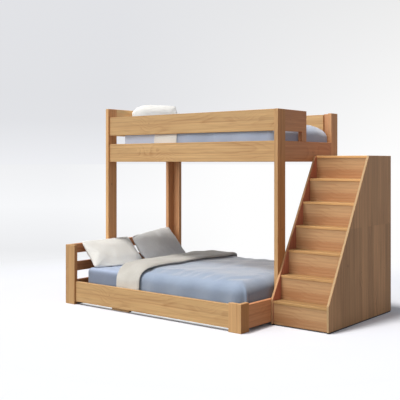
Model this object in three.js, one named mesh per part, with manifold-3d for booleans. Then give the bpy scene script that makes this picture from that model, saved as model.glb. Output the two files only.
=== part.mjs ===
// Bunk bed: a single bed carried on posts over a double bed, with a closed stair unit at the foot end.
// Millimetres, +Z up, +X from the head of the bed to the stairs, +Y from the open front to the wall.
// The origin is on the floor under the centre of the whole piece.

import * as THREE from 'three';
import { mergeVertices } from 'three/addons/utils/BufferGeometryUtils.js';
import Module from 'manifold-3d';

const wasm = await Module();
wasm.setup();

// Boards and clearances
const board = 35;              // thickness of every post, rail and guard
const easedEdge = 2;           // chamfer on every edge of a board
const recess = 15;             // front and back boards sit this far behind the post faces
const softGap = 0.3;           // clearance round bedding

// Bed frame
const bedLength = 1990;
const lowerWidth = 1510;
const upperWidth = 1000;

// Posts
const cornerPostFace = 119;    // lower corner posts, leg along X
const cornerPostSide = 105;    // lower corner posts, leg along Y
const headCornerRise = 334;    // head corner post over the lower rails
const footCornerRise = 17;     // foot corner post over the lower rails
const frontPostWidth = 113;    // upper front posts are single boards, this wide along Y
const backPostFace = 120;      // back posts, leg along X
const backPostSide = 113;      // back posts, leg along Y
const backPostRise = 6;        // the back post at the foot stands this much over the guard

// Rails and guards, from the floor up
const floorGap = 25;
const lowerRailHeight = 182;
const headSlatHeight = 84;
const headSlatCount = 2;
const upperRailBottom = 1304;
const upperRailHeight = 172;
const guardGap = 82;
const guardHeight = 178;
const headboardHeight = 262;
const footGuardLength = 337;   // from the front post to the way in
const guardBlockWidth = 73;

// Slat bases
const ledgerWidth = 30;
const ledgerHeight = 40;
const slatThickness = 20;
const slatWidth = 70;
const slatCount = 14;
const slatEndGap = 15;         // first and last slat to the end rails
const slatSideGap = 2;         // slat ends to the side rails
const tapeWidth = 25;
const tapeThickness = 1.5;     // webbing stapled over the slats
const tapeInset = 0.5;         // webbing pressed into the slats
const tapePlace = 0.25;        // webbing from either side, as a share of the slat's length
const beamWidth = 45;
const beamHeight = 60;
const legLength = 60;
const middleFootLength = 209;
const middleFootFromHead = 556;

// Mattresses and bedding
const mattressHeight = 190;
const mattressRise = 124;      // mattress top over the rails round it
const mattressRadius = 45;
const mattressHeadGap = 120;
const mattressFootGap = 35;
const lowerMattressFrontGap = 60;
const lowerMattressBackGap = 40;
const upperMattressSideGap = 31;
const bareSheetLength = 442;   // from the head of the mattress to the turned-back duvet
const duvetThickness = 32;
const duvetCrown = 14;         // swell of its top along the middle
const duvetSideThickness = 22; // where the duvet hangs beside the mattress
const duvetHangLength = 180;   // how far it hangs below the mattress top
const duvetRadius = 80;
const duvetCornerDraw = 0.3;   // how much the sides draw in, against the fall of the foot end
const turndownWidth = 290;
const turndownRise = 50;
const foldDepth = 5;           // waves in the hanging sides
const foldLength = 290;
const pillowPinch = 0.06;      // how far the sides are drawn in between the corners
const pillowHeight = 312;
const pillowFrontBulge = 55;   // how far the faces stand out from the rim
const pillowBackBulge = 100;
const pillowLean = 42;         // degrees from upright
const pillowEdgeGap = 35;      // lower pillows from the sides of the mattress
const pillowPairGap = 20;      // between the two lower pillows
const greyPillowSlant = 80;    // how far its far top corner is pulled up
const upperPillowWidth = 675;
const upperPillowHeight = 300;
const upperPillowFrontBulge = 70;
const upperPillowBackBulge = 115;
const upperPillowLean = 20;
const upperPillowSlant = 25;
const upperPillowEdgeGap = 2;  // from the wall side of its mattress

// Stair unit
const stairWidth = 520;
const stairDepth = 1100;
const landingDepth = 414;
const landingBelowRail = 121;  // the landing lies this much under the top of the upper rail
const stepCount = 7;
const nosing = 5;              // tread overhang past its riser
const nosingReveal = 2;        // first nosing behind the front edge of the sides
const sidePanel = 20;
const treadThickness = 20;
const riserThickness = 18;
const backPanel = 18;
const frontEdgeHeight = 207;   // upright part of the side panels' front edge
const glideHeight = 9;
const glideInset = 4;

// Derived levels
const lowerRailTop = floorGap + lowerRailHeight;
const headCornerHeight = lowerRailTop + headCornerRise;
const footCornerHeight = lowerRailTop + footCornerRise;
const upperRailTop = upperRailBottom + upperRailHeight;
const guardBottom = upperRailTop + guardGap;
const guardTop = guardBottom + guardHeight;
const headboardTop = guardBottom + headboardHeight;
const upperFront = lowerWidth - upperWidth;
const stairHeight = upperRailTop - landingBelowRail;
const rise = stairHeight / stepCount;

// Derived planes: the foot end is x = 0 and the front of the lower bed is y = 0 while building
const headFace = -bedLength;
const headInside = headFace + board;
const footInside = -board;
const backFace = lowerWidth;
const backBoardFront = backFace - recess - board;
const backLegFront = backFace - backPostSide;
const lowerBoardBack = recess + board;
const upperBoardBack = upperFront + recess + board;
const frontPostBack = upperFront + frontPostWidth;
const stairFront = backFace - stairDepth;
const going = (stairDepth - nosingReveal - landingDepth) / (stepCount - 1);

// Materials
const wood = new THREE.MeshStandardMaterial({ color: 0xc0925f, roughness: 0.55, metalness: 0 });
const slatWood = new THREE.MeshStandardMaterial({ color: 0xd8bd90, roughness: 0.7, metalness: 0 });
const glidePlastic = new THREE.MeshStandardMaterial({ color: 0x2b2a29, roughness: 0.6, metalness: 0 });
const blueSheet = new THREE.MeshStandardMaterial({ color: 0xa5acbe, roughness: 0.95, metalness: 0 });
const blueDuvet = new THREE.MeshStandardMaterial({ color: 0xaab5cb, roughness: 0.95, metalness: 0 });
const whiteCotton = new THREE.MeshStandardMaterial({ color: 0xdedad1, roughness: 0.95, metalness: 0 });
const greyCotton = new THREE.MeshStandardMaterial({ color: 0x9a9894, roughness: 0.95, metalness: 0 });

const bed = new THREE.Group();
bed.position.set((bedLength - stairWidth) / 2, -lowerWidth / 2, 0);

function place(name, geometry, material, x = 0, y = 0, z = 0) {
  const mesh = new THREE.Mesh(geometry, material);
  mesh.name = name;
  mesh.position.set(x, y, z);
  bed.add(mesh);
  return mesh;
}

// A flat shape made thick along +Z, with every edge eased
function thicken(shape, depth, edge = easedEdge) {
  const geometry = new THREE.ExtrudeGeometry(shape, {
    depth: depth - 2 * edge,
    bevelEnabled: true,
    bevelThickness: edge,
    bevelSize: edge,
    bevelOffset: -edge,
    bevelSegments: 1,
  });
  return geometry.translate(0, 0, edge);
}

function polygon(points) {
  return new THREE.Shape(points.map(([x, y]) => new THREE.Vector2(x, y)));
}

// A sawn board that fills the space between two corners
function addBoard(name, low, high, material = wood) {
  const [dx, dy, dz] = high.map((value, i) => value - low[i]);
  const outline = polygon([[0, 0], [dx, 0], [dx, dy], [0, dy]]);
  place(name, thicken(outline, dz), material, ...low);
}

// Manifold solids for the pieces that need a join or a cut
function toSolid(geometry) {
  const bare = geometry.clone();
  bare.deleteAttribute('normal');
  bare.deleteAttribute('uv');
  const merged = mergeVertices(bare, 1e-4);
  return new wasm.Manifold(new wasm.Mesh({
    numProp: 3,
    vertProperties: new Float32Array(merged.attributes.position.array),
    triVerts: new Uint32Array(merged.index.array),
  }));
}

function toGeometry(solid) {
  const mesh = solid.getMesh();
  const geometry = new THREE.BufferGeometry();
  geometry.setAttribute('position', new THREE.BufferAttribute(mesh.vertProperties, 3));
  geometry.setIndex(new THREE.BufferAttribute(mesh.triVerts, 1));
  geometry.computeVertexNormals();
  return geometry;
}

function boxGeometry(low, high) {
  const size = high.map((value, i) => value - low[i]);
  const centre = high.map((value, i) => (value + low[i]) / 2);
  return new THREE.BoxGeometry(...size).translate(...centre);
}

// Rings of points, clockwise seen from +X, lofted into one closed body with a fan at each end
function loft(rings) {
  const count = rings[0].length;
  const positions = rings.flat(2);
  const indices = [];
  for (let i = 0; i + 1 < rings.length; i++) {
    for (let j = 0; j < count; j++) {
      const a = i * count + j;
      const b = i * count + (j + 1) % count;
      indices.push(a, a + count, b, b, a + count, b + count);
    }
  }
  for (const first of [0, (rings.length - 1) * count]) {
    const hub = positions.length / 3;
    for (let axis = 0; axis < 3; axis++) {
      let sum = 0;
      for (let j = 0; j < count; j++) {
        sum += positions[(first + j) * 3 + axis];
      }
      positions.push(sum / count);
    }
    for (let j = 0; j < count; j++) {
      const a = first + j;
      const b = first + (j + 1) % count;
      indices.push(hub, first === 0 ? a : b, first === 0 ? b : a);
    }
  }
  const geometry = new THREE.BufferGeometry();
  geometry.setAttribute('position', new THREE.Float32BufferAttribute(positions, 3));
  geometry.setIndex(indices);
  geometry.computeVertexNormals();
  return geometry;
}

// Posts: the lower corner posts and the back posts are two boards glued into an L
function addCornerPost(name, cornerX, cornerY, intoX, intoY, face, side, height) {
  const points = [
    [0, 0], [face, 0], [face, board], [board, board], [board, side], [0, side],
  ].map(([x, y]) => [cornerX + intoX * x, cornerY + intoY * y]);
  if (intoX * intoY < 0) {
    points.reverse();
  }
  place(name, thicken(polygon(points), height), wood);
}

function addPosts() {
  addCornerPost('lower_post_head', headFace, 0, 1, 1, cornerPostFace, cornerPostSide, headCornerHeight);
  addCornerPost('lower_post_foot', 0, 0, -1, 1, cornerPostFace, cornerPostSide, footCornerHeight);
  addCornerPost('back_post_head', headFace, backFace, 1, -1, backPostFace, backPostSide, headboardTop);
  addCornerPost('back_post_foot', 0, backFace, -1, -1, backPostFace, backPostSide, guardTop + backPostRise);
  addBoard('upper_post_head', [headFace, upperFront, 0], [headInside, frontPostBack, headboardTop]);
  addBoard('upper_post_foot', [footInside, upperFront, 0], [0, frontPostBack, guardTop]);
}

// A pair of boards at one end, in front of and behind the upper post
function addEndPair(name, x, bottom, top) {
  addBoard(`${name}_front`, [x, cornerPostSide, bottom], [x + board, upperFront, top]);
  addBoard(`${name}_back`, [x, frontPostBack, bottom], [x + board, backLegFront, top]);
}

function addLowerFrame() {
  const frontLow = [headFace + cornerPostFace, recess, floorGap];
  addBoard('lower_rail_front', frontLow, [-cornerPostFace, lowerBoardBack, lowerRailTop]);
  const backLow = [headFace + backPostFace, backBoardFront, floorGap];
  addBoard('lower_rail_back', backLow, [-backPostFace, backFace - recess, lowerRailTop]);
  addEndPair('head_rail', headFace, floorGap, lowerRailTop);
  addEndPair('foot_rail', footInside, floorGap, lowerRailTop);
  const openHeight = headCornerHeight - lowerRailTop - headSlatCount * headSlatHeight;
  const step = headSlatHeight + openHeight / headSlatCount;
  for (let i = 0; i < headSlatCount; i++) {
    const top = headCornerHeight - i * step;
    addEndPair(`head_slat_${headSlatCount - i}`, headFace, top - headSlatHeight, top);
  }
}

// One long board at the front or back of the upper bed
function addUpperLong(name, bottom, top, atBack) {
  if (atBack) {
    const low = [headFace + backPostFace, backBoardFront, bottom];
    addBoard(name, low, [-backPostFace, backFace - recess, top]);
  } else {
    addBoard(name, [headInside, upperFront + recess, bottom], [footInside, upperBoardBack, top]);
  }
}

// One board across an end of the upper bed, from the front post to the given depth
function addUpperCross(name, x, back, bottom, top) {
  addBoard(name, [x, frontPostBack, bottom], [x + board, back, top]);
}

function addUpperFrame() {
  addUpperLong('upper_rail_front', upperRailBottom, upperRailTop, false);
  addUpperLong('upper_rail_back', upperRailBottom, upperRailTop, true);
  addUpperLong('guard_front', guardBottom, guardTop, false);
  addUpperLong('guard_back', guardBottom, guardTop, true);
  const guardEnd = frontPostBack + footGuardLength;
  addUpperCross('upper_rail_head', headFace, backLegFront, upperRailBottom, upperRailTop);
  addUpperCross('upper_rail_foot', footInside, backLegFront, upperRailBottom, upperRailTop);
  addUpperCross('headboard', headFace, backLegFront, guardBottom, headboardTop);
  addUpperCross('guard_foot', footInside, guardEnd, guardBottom, guardTop);
  const blockLow = [footInside, guardEnd - guardBlockWidth, upperRailTop];
  addBoard('guard_foot_block', blockLow, [0, guardEnd, guardBottom]);
}

// Slats held at their spacing by two webbing tapes, so that the base rolls out as one piece
function slatBase(frontInside, backInside, slatTop) {
  const front = frontInside + slatSideGap;
  const back = backInside - slatSideGap;
  const start = headInside + slatEndGap;
  const end = footInside - slatEndGap;
  const pitch = (end - start - slatWidth) / (slatCount - 1);
  const bottom = slatTop - slatThickness;
  let base = null;
  for (let i = 0; i < slatCount; i++) {
    const x = start + i * pitch;
    const slat = toSolid(boxGeometry([x, front, bottom], [x + slatWidth, back, slatTop]));
    base = base ? base.add(slat) : slat;
  }
  for (const share of [tapePlace, 1 - tapePlace]) {
    const y = front + share * (back - front);
    const low = [start + easedEdge, y - tapeWidth / 2, slatTop - tapeInset];
    const high = [end - easedEdge, y + tapeWidth / 2, slatTop + tapeThickness];
    base = base.add(toSolid(boxGeometry(low, high)));
  }
  return toGeometry(base);
}

function addSlatSupport(level, frontInside, railTop) {
  const slatTop = railTop + mattressRise - mattressHeight - softGap - tapeThickness;
  const slatBottom = slatTop - slatThickness;
  const bottom = slatBottom - ledgerHeight;
  const frontHigh = [footInside, frontInside + ledgerWidth, slatBottom];
  addBoard(`${level}_ledger_front`, [headInside, frontInside, bottom], frontHigh);
  const backLow = [headInside, backBoardFront - ledgerWidth, bottom];
  addBoard(`${level}_ledger_back`, backLow, [footInside, backBoardFront, slatBottom]);
  place(`${level}_slat_base`, slatBase(frontInside, backBoardFront, slatTop), slatWood);
  return slatBottom;
}

function addSlatBases() {
  addSlatSupport('upper', upperBoardBack, upperRailTop);
  const slatBottom = addSlatSupport('lower', lowerBoardBack, lowerRailTop);
  const beamLow = [headInside, (lowerWidth - beamWidth) / 2, slatBottom - beamHeight];
  const beamHigh = [footInside, (lowerWidth + beamWidth) / 2, slatBottom];
  addBoard('centre_beam', beamLow, beamHigh);
  const legMiddle = headFace + bedLength / 2;
  const legLow = [legMiddle - legLength / 2, beamLow[1], 0];
  addBoard('centre_leg', legLow, [legMiddle + legLength / 2, beamHigh[1], beamLow[2]]);
  const footLow = [headFace + middleFootFromHead, lowerBoardBack, 0];
  const footHigh = [footLow[0] + middleFootLength, lowerBoardBack + ledgerWidth, slatBottom - ledgerHeight];
  addBoard('middle_foot', footLow, footHigh);
}

// Mattress: a block with rounded corners and edges, grown by a margin where it serves as a cutter
function mattressForm(length, width, height, margin = 0) {
  const r = mattressRadius;
  const dx = length / 2 + margin;
  const dy = width / 2 + margin;
  const shape = new THREE.Shape();
  shape.moveTo(-dx + r, -dy);
  shape.lineTo(dx - r, -dy);
  shape.absarc(dx - r, -dy + r, r, -Math.PI / 2, 0, false);
  shape.lineTo(dx, dy - r);
  shape.absarc(dx - r, dy - r, r, 0, Math.PI / 2, false);
  shape.lineTo(-dx + r, dy);
  shape.absarc(-dx + r, dy - r, r, Math.PI / 2, Math.PI, false);
  shape.lineTo(-dx, -dy + r);
  shape.absarc(-dx + r, -dy + r, r, Math.PI, 1.5 * Math.PI, false);
  const edge = r * 0.6;
  const geometry = new THREE.ExtrudeGeometry(shape, {
    depth: height + margin - 2 * edge,
    bevelEnabled: true,
    bevelThickness: edge,
    bevelSize: edge,
    bevelOffset: -edge,
    bevelSegments: 3,
    curveSegments: 5,
  });
  return geometry.translate(0, 0, edge);
}

// Cross-section of the duvet over the mattress: up the front, over the top and down the back
function duvetRing(x, front, back, bottom, top, radius) {
  const ring = [];
  const sideSteps = 3;
  const cornerSteps = 4;
  const topSteps = 8;
  for (let i = 0; i < sideSteps; i++) {
    ring.push([x, front, bottom + (top - radius - bottom) * (i / sideSteps)]);
  }
  for (let i = 0; i <= cornerSteps; i++) {
    const angle = (Math.PI / 2) * (i / cornerSteps);
    const y = front + radius * (1 - Math.cos(angle));
    ring.push([x, y, top - radius * (1 - Math.sin(angle))]);
  }
  for (let i = 1; i < topSteps; i++) {
    const y = front + radius + (back - front - 2 * radius) * (i / topSteps);
    ring.push([x, y, top + duvetCrown * Math.sin((Math.PI * i) / topSteps)]);
  }
  for (let i = cornerSteps; i >= 0; i--) {
    const angle = (Math.PI / 2) * (i / cornerSteps);
    const y = back - radius * (1 - Math.cos(angle));
    ring.push([x, y, top - radius * (1 - Math.sin(angle))]);
  }
  for (let i = sideSteps - 1; i >= 0; i--) {
    ring.push([x, back, bottom + (top - radius - bottom) * (i / sideSteps)]);
  }
  return ring;
}

// Duvet: drapes over three sides of the mattress, its top end turned back on itself
function duvetForm(mattress) {
  const head = mattress.head + bareSheetLength;
  const foot = mattress.foot + duvetSideThickness;
  const roundStart = foot - duvetRadius;
  const bandEnd = head + turndownWidth;
  const stations = [0, 0.04, 0.2, 0.5, 0.8, 0.96].map((t) => head + turndownWidth * t);
  stations.push(bandEnd, bandEnd + duvetThickness);
  const plainSteps = 14;
  for (let i = 1; i <= plainSteps; i++) {
    const t = i / plainSteps;
    stations.push(bandEnd + duvetThickness + (roundStart - bandEnd - duvetThickness) * t);
  }
  const endSteps = 4;
  for (let i = 1; i <= endSteps; i++) {
    stations.push(roundStart + duvetRadius * Math.sin((Math.PI / 2) * (i / endSteps)));
  }
  const bottom = mattress.top - duvetHangLength;
  const rings = stations.map((x) => {
    const past = Math.max(0, x - roundStart) / duvetRadius;
    const pull = duvetRadius * (1 - Math.sqrt(Math.max(0, 1 - past * past)));
    const band = x <= bandEnd ? turndownRise : 0;
    const roll = x === head ? turndownRise / 2 : 0;
    const wave = foldDepth * Math.sin((2 * Math.PI * (x - head)) / foldLength);
    const top = mattress.top + duvetThickness + band - roll - pull;
    const front = mattress.front - duvetSideThickness + pull * duvetCornerDraw + wave;
    const back = mattress.back + duvetSideThickness - pull * duvetCornerDraw + wave;
    return duvetRing(x, front, back, bottom, top, duvetRadius);
  });
  const height = mattress.top - bottom + 2 * duvetSideThickness;
  const length = mattress.foot - mattress.head;
  const width = mattress.back - mattress.front;
  const cavity = mattressForm(length, width, height, softGap);
  cavity.translate(mattress.foot - length / 2, mattress.front + width / 2, mattress.top - height);
  return toGeometry(toSolid(loft(rings)).subtract(toSolid(cavity)));
}

// Pillow: two crowned faces that meet in a rim, drawn in between its four corners
function pillowForm({ width, height, frontBulge, backBulge, slant }) {
  const across = 20;
  const up = 14;
  const spread = (i, n) => Math.sin((Math.PI / 2) * ((2 * i) / n - 1));
  const positions = [];
  const index = new Map();
  const vertex = (i, j, side) => {
    const onRim = i === 0 || j === 0 || i === across || j === up;
    const key = `${i},${j},${onRim ? 0 : side}`;
    if (!index.has(key)) {
      const u = spread(i, across);
      const v = spread(j, up);
      const y = (width / 2) * u * (1 - pillowPinch * (1 - v * v));
      const lift = slant * ((1 + u) / 2) * ((1 + v) / 2);
      const z = (height / 2) * v * (1 - pillowPinch * (1 - u * u)) + lift;
      const bulge = side > 0 ? frontBulge : -backBulge;
      const x = onRim ? 0 : bulge * ((1 - u * u) * (1 - v * v)) ** 0.42;
      index.set(key, positions.length / 3);
      positions.push(x, y, z);
    }
    return index.get(key);
  };
  const triangles = [];
  for (let i = 0; i < across; i++) {
    for (let j = 0; j < up; j++) {
      for (const side of [1, -1]) {
        const corners = [[i, j], [i + 1, j], [i + 1, j + 1], [i, j + 1]];
        const quad = corners.map(([m, n]) => vertex(m, n, side));
        const [a, b, c, d] = side > 0 ? quad : quad.reverse();
        triangles.push(a, b, c, a, c, d);
      }
    }
  }
  const geometry = new THREE.BufferGeometry();
  geometry.setAttribute('position', new THREE.Float32BufferAttribute(positions, 3));
  geometry.setIndex(triangles);
  geometry.computeVertexNormals();
  return geometry;
}

// A pillow leans back until it meets the headboard, and its underside is pressed flat on the sheet
function addPillow(name, material, form, centreY, sheetTop) {
  const geometry = pillowForm(form);
  const lean = THREE.MathUtils.degToRad(form.lean);
  geometry.rotateY(-lean);
  const rimBottom = -(form.height / 2) * Math.cos(lean);
  const { position } = geometry.attributes;
  for (let i = 0; i < position.count; i++) {
    position.setZ(i, Math.max(position.getZ(i), rimBottom));
  }
  geometry.computeBoundingBox();
  const { min } = geometry.boundingBox;
  geometry.translate(-min.x, 0, -min.z);
  place(name, geometry, material, headInside + softGap, centreY, sheetTop + softGap);
}

// Mattress and duvet of one level; the planes of the mattress are returned for what lies on it
function addBedding(level, front, back, railTop) {
  const head = headInside + mattressHeadGap;
  const foot = footInside - mattressFootGap;
  const mattress = { head, foot, front, back, top: railTop + mattressRise };
  const form = mattressForm(foot - head, back - front, mattressHeight);
  const bottom = mattress.top - mattressHeight;
  place(`${level}_mattress`, form, blueSheet, (head + foot) / 2, (front + back) / 2, bottom);
  place(`${level}_duvet`, duvetForm(mattress), blueDuvet);
  return mattress;
}

function addAllBedding() {
  const lowerFront = lowerBoardBack + lowerMattressFrontGap;
  const lower = addBedding('lower', lowerFront, backBoardFront - lowerMattressBackGap, lowerRailTop);
  const pillowWidth = (lower.back - lower.front - pillowPairGap) / 2 - pillowEdgeGap;
  const pillow = {
    width: pillowWidth,
    height: pillowHeight,
    frontBulge: pillowFrontBulge,
    backBulge: pillowBackBulge,
    lean: pillowLean,
    slant: 0,
  };
  const inset = pillowEdgeGap + pillowWidth / 2;
  addPillow('lower_pillow_white', whiteCotton, pillow, lower.front + inset, lower.top);
  const greyPillow = { ...pillow, slant: greyPillowSlant };
  addPillow('lower_pillow_grey', greyCotton, greyPillow, lower.back - inset, lower.top);
  const upperFrontSide = upperBoardBack + upperMattressSideGap;
  const upperBackSide = backBoardFront - upperMattressSideGap;
  const upper = addBedding('upper', upperFrontSide, upperBackSide, upperRailTop);
  const upperPillow = {
    width: upperPillowWidth,
    height: upperPillowHeight,
    frontBulge: upperPillowFrontBulge,
    backBulge: upperPillowBackBulge,
    lean: upperPillowLean,
    slant: upperPillowSlant,
  };
  const upperPillowCentre = upper.back - upperPillowEdgeGap - upperPillowWidth / 2;
  addPillow('upper_pillow', whiteCotton, upperPillow, upperPillowCentre, upper.top);
}

// Stair side: upright at the front, then parallel to the line of the nosings
function stairSide() {
  const slantRun = ((stairHeight - frontEdgeHeight) * going) / rise;
  const outline = polygon([
    [stairFront, glideHeight],
    [backFace, glideHeight],
    [backFace, stairHeight],
    [stairFront + slantRun, stairHeight],
    [stairFront, frontEdgeHeight],
  ]);
  const geometry = thicken(outline, sidePanel);
  geometry.rotateX(Math.PI / 2);
  geometry.rotateZ(Math.PI / 2);
  return geometry;
}

function addStairs() {
  place('stair_side_bed', stairSide(), wood, 0);
  place('stair_side_open', stairSide(), wood, stairWidth - sidePanel);
  for (const [name, x] of [['glide_bed_side', 0], ['glide_open_side', stairWidth - sidePanel]]) {
    const low = [x + glideInset, stairFront + glideInset, 0];
    const high = [x + sidePanel - glideInset, backFace - glideInset, glideHeight];
    place(name, boxGeometry(low, high), glidePlastic);
  }
  const left = sidePanel;
  const right = stairWidth - sidePanel;
  for (let i = 1; i <= stepCount; i++) {
    const top = i * rise;
    const nose = stairFront + nosingReveal + (i - 1) * going;
    const riserFace = nose + nosing;
    const riserFoot = i === 1 ? glideHeight : top - rise;
    const treadBack = i === stepCount ? backFace : riserFace + going + riserThickness;
    addBoard(`tread_${i}`, [left, nose, top - treadThickness], [right, treadBack, top]);
    const riserHigh = [right, riserFace + riserThickness, top - treadThickness];
    addBoard(`riser_${i}`, [left, riserFace, riserFoot], riserHigh);
  }
  const panelHigh = [right, backFace, stairHeight - treadThickness];
  addBoard('stair_back_panel', [left, backFace - backPanel, glideHeight], panelHigh);
}

addPosts();
addLowerFrame();
addUpperFrame();
addSlatBases();
addAllBedding();
addStairs();

export default bed;
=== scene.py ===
"""Looks of a bunk bed with stairs: wood, bedding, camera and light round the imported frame."""

import logging
import math
import random
from contextlib import contextmanager
from dataclasses import dataclass
from enum import Enum
from typing import Callable, Iterator, Sequence

import bmesh
import bpy
from mathutils import Euler, Matrix, Vector, noise


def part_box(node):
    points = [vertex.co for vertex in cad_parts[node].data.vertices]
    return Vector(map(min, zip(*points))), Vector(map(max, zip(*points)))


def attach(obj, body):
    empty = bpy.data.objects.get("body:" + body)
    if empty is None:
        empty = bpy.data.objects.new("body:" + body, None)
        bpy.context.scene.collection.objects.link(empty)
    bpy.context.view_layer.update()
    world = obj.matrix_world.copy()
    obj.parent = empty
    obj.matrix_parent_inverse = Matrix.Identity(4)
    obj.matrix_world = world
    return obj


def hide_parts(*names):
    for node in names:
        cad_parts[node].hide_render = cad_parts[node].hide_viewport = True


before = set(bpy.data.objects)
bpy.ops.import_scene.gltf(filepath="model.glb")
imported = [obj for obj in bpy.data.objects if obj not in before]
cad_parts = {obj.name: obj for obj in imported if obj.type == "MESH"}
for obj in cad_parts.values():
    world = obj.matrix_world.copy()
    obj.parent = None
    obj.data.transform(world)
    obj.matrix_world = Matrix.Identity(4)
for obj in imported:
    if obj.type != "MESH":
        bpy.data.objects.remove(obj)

log = logging.getLogger("bunk_bed")

Socket = bpy.types.NodeSocket
Colour = tuple[float, float, float]
Point = tuple[float, float, float]

BODY = "root"
WELD = 1e-5


class Grain(Enum):
    """Direction of a board's fibres, with the turn that brings it onto X."""

    LENGTHWAYS = Euler((0.0, 0.0, 0.0))
    CROSSWAYS = Euler((0.0, 0.0, -math.pi / 2))
    UPRIGHT = Euler((0.0, math.pi / 2, 0.0))


class Level(Enum):
    """The two beds, by the first word of their nodes' names."""

    LOWER = "lower"
    UPPER = "upper"


def linear(red: int, green: int, blue: int) -> Colour:
    """Turns a colour written as on screen, 0 to 255, into linear light."""
    return tuple((value / 255) ** 2.2 for value in (red, green, blue))


def ease(value: float) -> float:
    """Smooth step from 0 to 1."""
    value = min(1.0, max(0.0, value))
    return value * value * (3 - 2 * value)


def swell(x: float, y: float, z: float) -> float:
    """Smooth noise at a place, from -1 to 1."""
    return noise.noise(Vector((x, y, z)))


def box_of(node: str) -> tuple[Vector, Vector]:
    """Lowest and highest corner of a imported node."""
    low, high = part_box(node)
    return Vector(low), Vector(high)


class Tree:
    """A node tree, with short calls that add and join its nodes."""

    def __init__(self, tree: bpy.types.NodeTree) -> None:
        """Takes over a node tree and empties it."""
        self.tree = tree
        self.tree.nodes.clear()

    def add(self, kind: str, **settings: object) -> bpy.types.Node:
        """Adds a node and sets its properties.

        Args:
            kind: The node's type.
            settings: Its properties, by name.

        Returns:
            The node.
        """
        node = self.tree.nodes.new(kind)
        for name, value in settings.items():
            setattr(node, name, value)
        return node

    def join(self, source: Socket, target: Socket) -> None:
        """Links one socket to another."""
        self.tree.links.new(source, target)

    def feed(self, target: Socket, value: object) -> None:
        """Gives a socket a link or a constant, whichever the value is.

        Args:
            target: An input of a node.
            value: A socket or a constant.
        """
        if isinstance(value, Socket):
            self.join(value, target)
        else:
            target.default_value = value

    def read(self, kind: str, output: str) -> Socket:
        """Adds a node and returns one of its outputs."""
        return self.add(kind).outputs[output]

    def place(self) -> Socket:
        """Place on the piece, in metres."""
        return self.read("ShaderNodeTexCoord", "Object")

    def math(self, operation: str, first: object, *others: object) -> Socket:
        """Puts values through Math nodes, each with the result so far as its first value.

        Args:
            operation: What the nodes do.
            first: First value, a socket or a number.
            others: Second value of each node in turn.

        Returns:
            The last result.
        """
        for other in others or (0.0,):
            node = self.add("ShaderNodeMath", operation=operation)
            self.feed(node.inputs[0], first)
            self.feed(node.inputs[1], other)
            first = node.outputs[0]
        return first

    def vector(self, operation: str, first: object, *others: object) -> Socket:
        """Puts vectors through Vector Math nodes in the same way, to a vector or a number.

        Args:
            operation: What the nodes do.
            first: First vector, a socket or a constant.
            others: Second vector of each node in turn.

        Returns:
            The last result.
        """
        for other in others or ((0, 0, 0),):
            node = self.add("ShaderNodeVectorMath", operation=operation)
            self.feed(node.inputs[0], first)
            self.feed(node.inputs[1], other)
            measured = operation in ("LENGTH", "DOT_PRODUCT")
            first = node.outputs["Value" if measured else "Vector"]
        return first

    def parts(self, vector: Socket) -> Sequence[Socket]:
        """Splits a vector and returns its three parts.

        Args:
            vector: The vector.

        Returns:
            Its X, Y and Z.
        """
        node = self.add("ShaderNodeSeparateXYZ")
        self.join(vector, node.inputs[0])
        return node.outputs

    def mix(self, factor: object, low: object, high: object, blend: str = "MIX") -> Socket:
        """Mixes two colours and returns the result.

        Args:
            factor: Share of the second colour.
            low: First colour, a socket or a constant.
            high: Second colour, a socket or a constant.
            blend: How they mix.

        Returns:
            The mixed colour.
        """
        node = self.add("ShaderNodeMix", data_type="RGBA", blend_type=blend)
        self.feed(node.inputs["Factor"], factor)
        for name, value in (("A", low), ("B", high)):
            socket = next(s for s in node.inputs if s.name == name and s.type == "RGBA")
            self.feed(socket, value if isinstance(value, Socket) else (*value, 1.0))
        return next(s for s in node.outputs if s.type == "RGBA")

    def tint(self, colour: object, by: object) -> Socket:
        """Multiplies two colours and returns the result."""
        return self.mix(1.0, colour, by, "MULTIPLY")

    def noise(
        self, vector: Socket, scale: float, detail: float = 2.0, output: str = "Fac"
    ) -> Socket:
        """Adds a Noise Texture and returns one of its outputs.

        Args:
            vector: Place in the noise.
            scale: Cells to the unit of length.
            detail: Number of finer layers.
            output: Name of the output.

        Returns:
            That output.
        """
        node = self.add("ShaderNodeTexNoise")
        for name, value in (("Vector", vector), ("Scale", scale), ("Detail", detail)):
            self.feed(node.inputs[name], value)
        return node.outputs[output]

    def blend(self, factor: Socket, first: Socket, second: Socket, target: Socket) -> None:
        """Mixes two shaders and joins the result to a socket.

        Args:
            factor: Share of the second shader.
            first: First shader.
            second: Second shader.
            target: Where the mixed shader goes.
        """
        node = self.add("ShaderNodeMixShader")
        for source, socket in zip((factor, first, second), node.inputs):
            self.join(source, socket)
        self.join(node.outputs[0], target)

    def ramp(self, factor: Socket, stops: Sequence[tuple[float, float]]) -> Socket:
        """Adds a grey Color Ramp through (place, level) stops and returns its level.

        Args:
            factor: Place on the ramp.
            stops: Place and level of each stop.

        Returns:
            The level.
        """
        node = self.add("ShaderNodeValToRGB")
        self.join(factor, node.inputs["Fac"])
        elements = node.color_ramp.elements
        while len(elements) < len(stops):
            elements.new(0.5)
        for element, (place, level) in zip(elements, stops):
            element.position = place
            element.color = (level, level, level, 1.0)
        return node.outputs["Color"]


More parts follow.
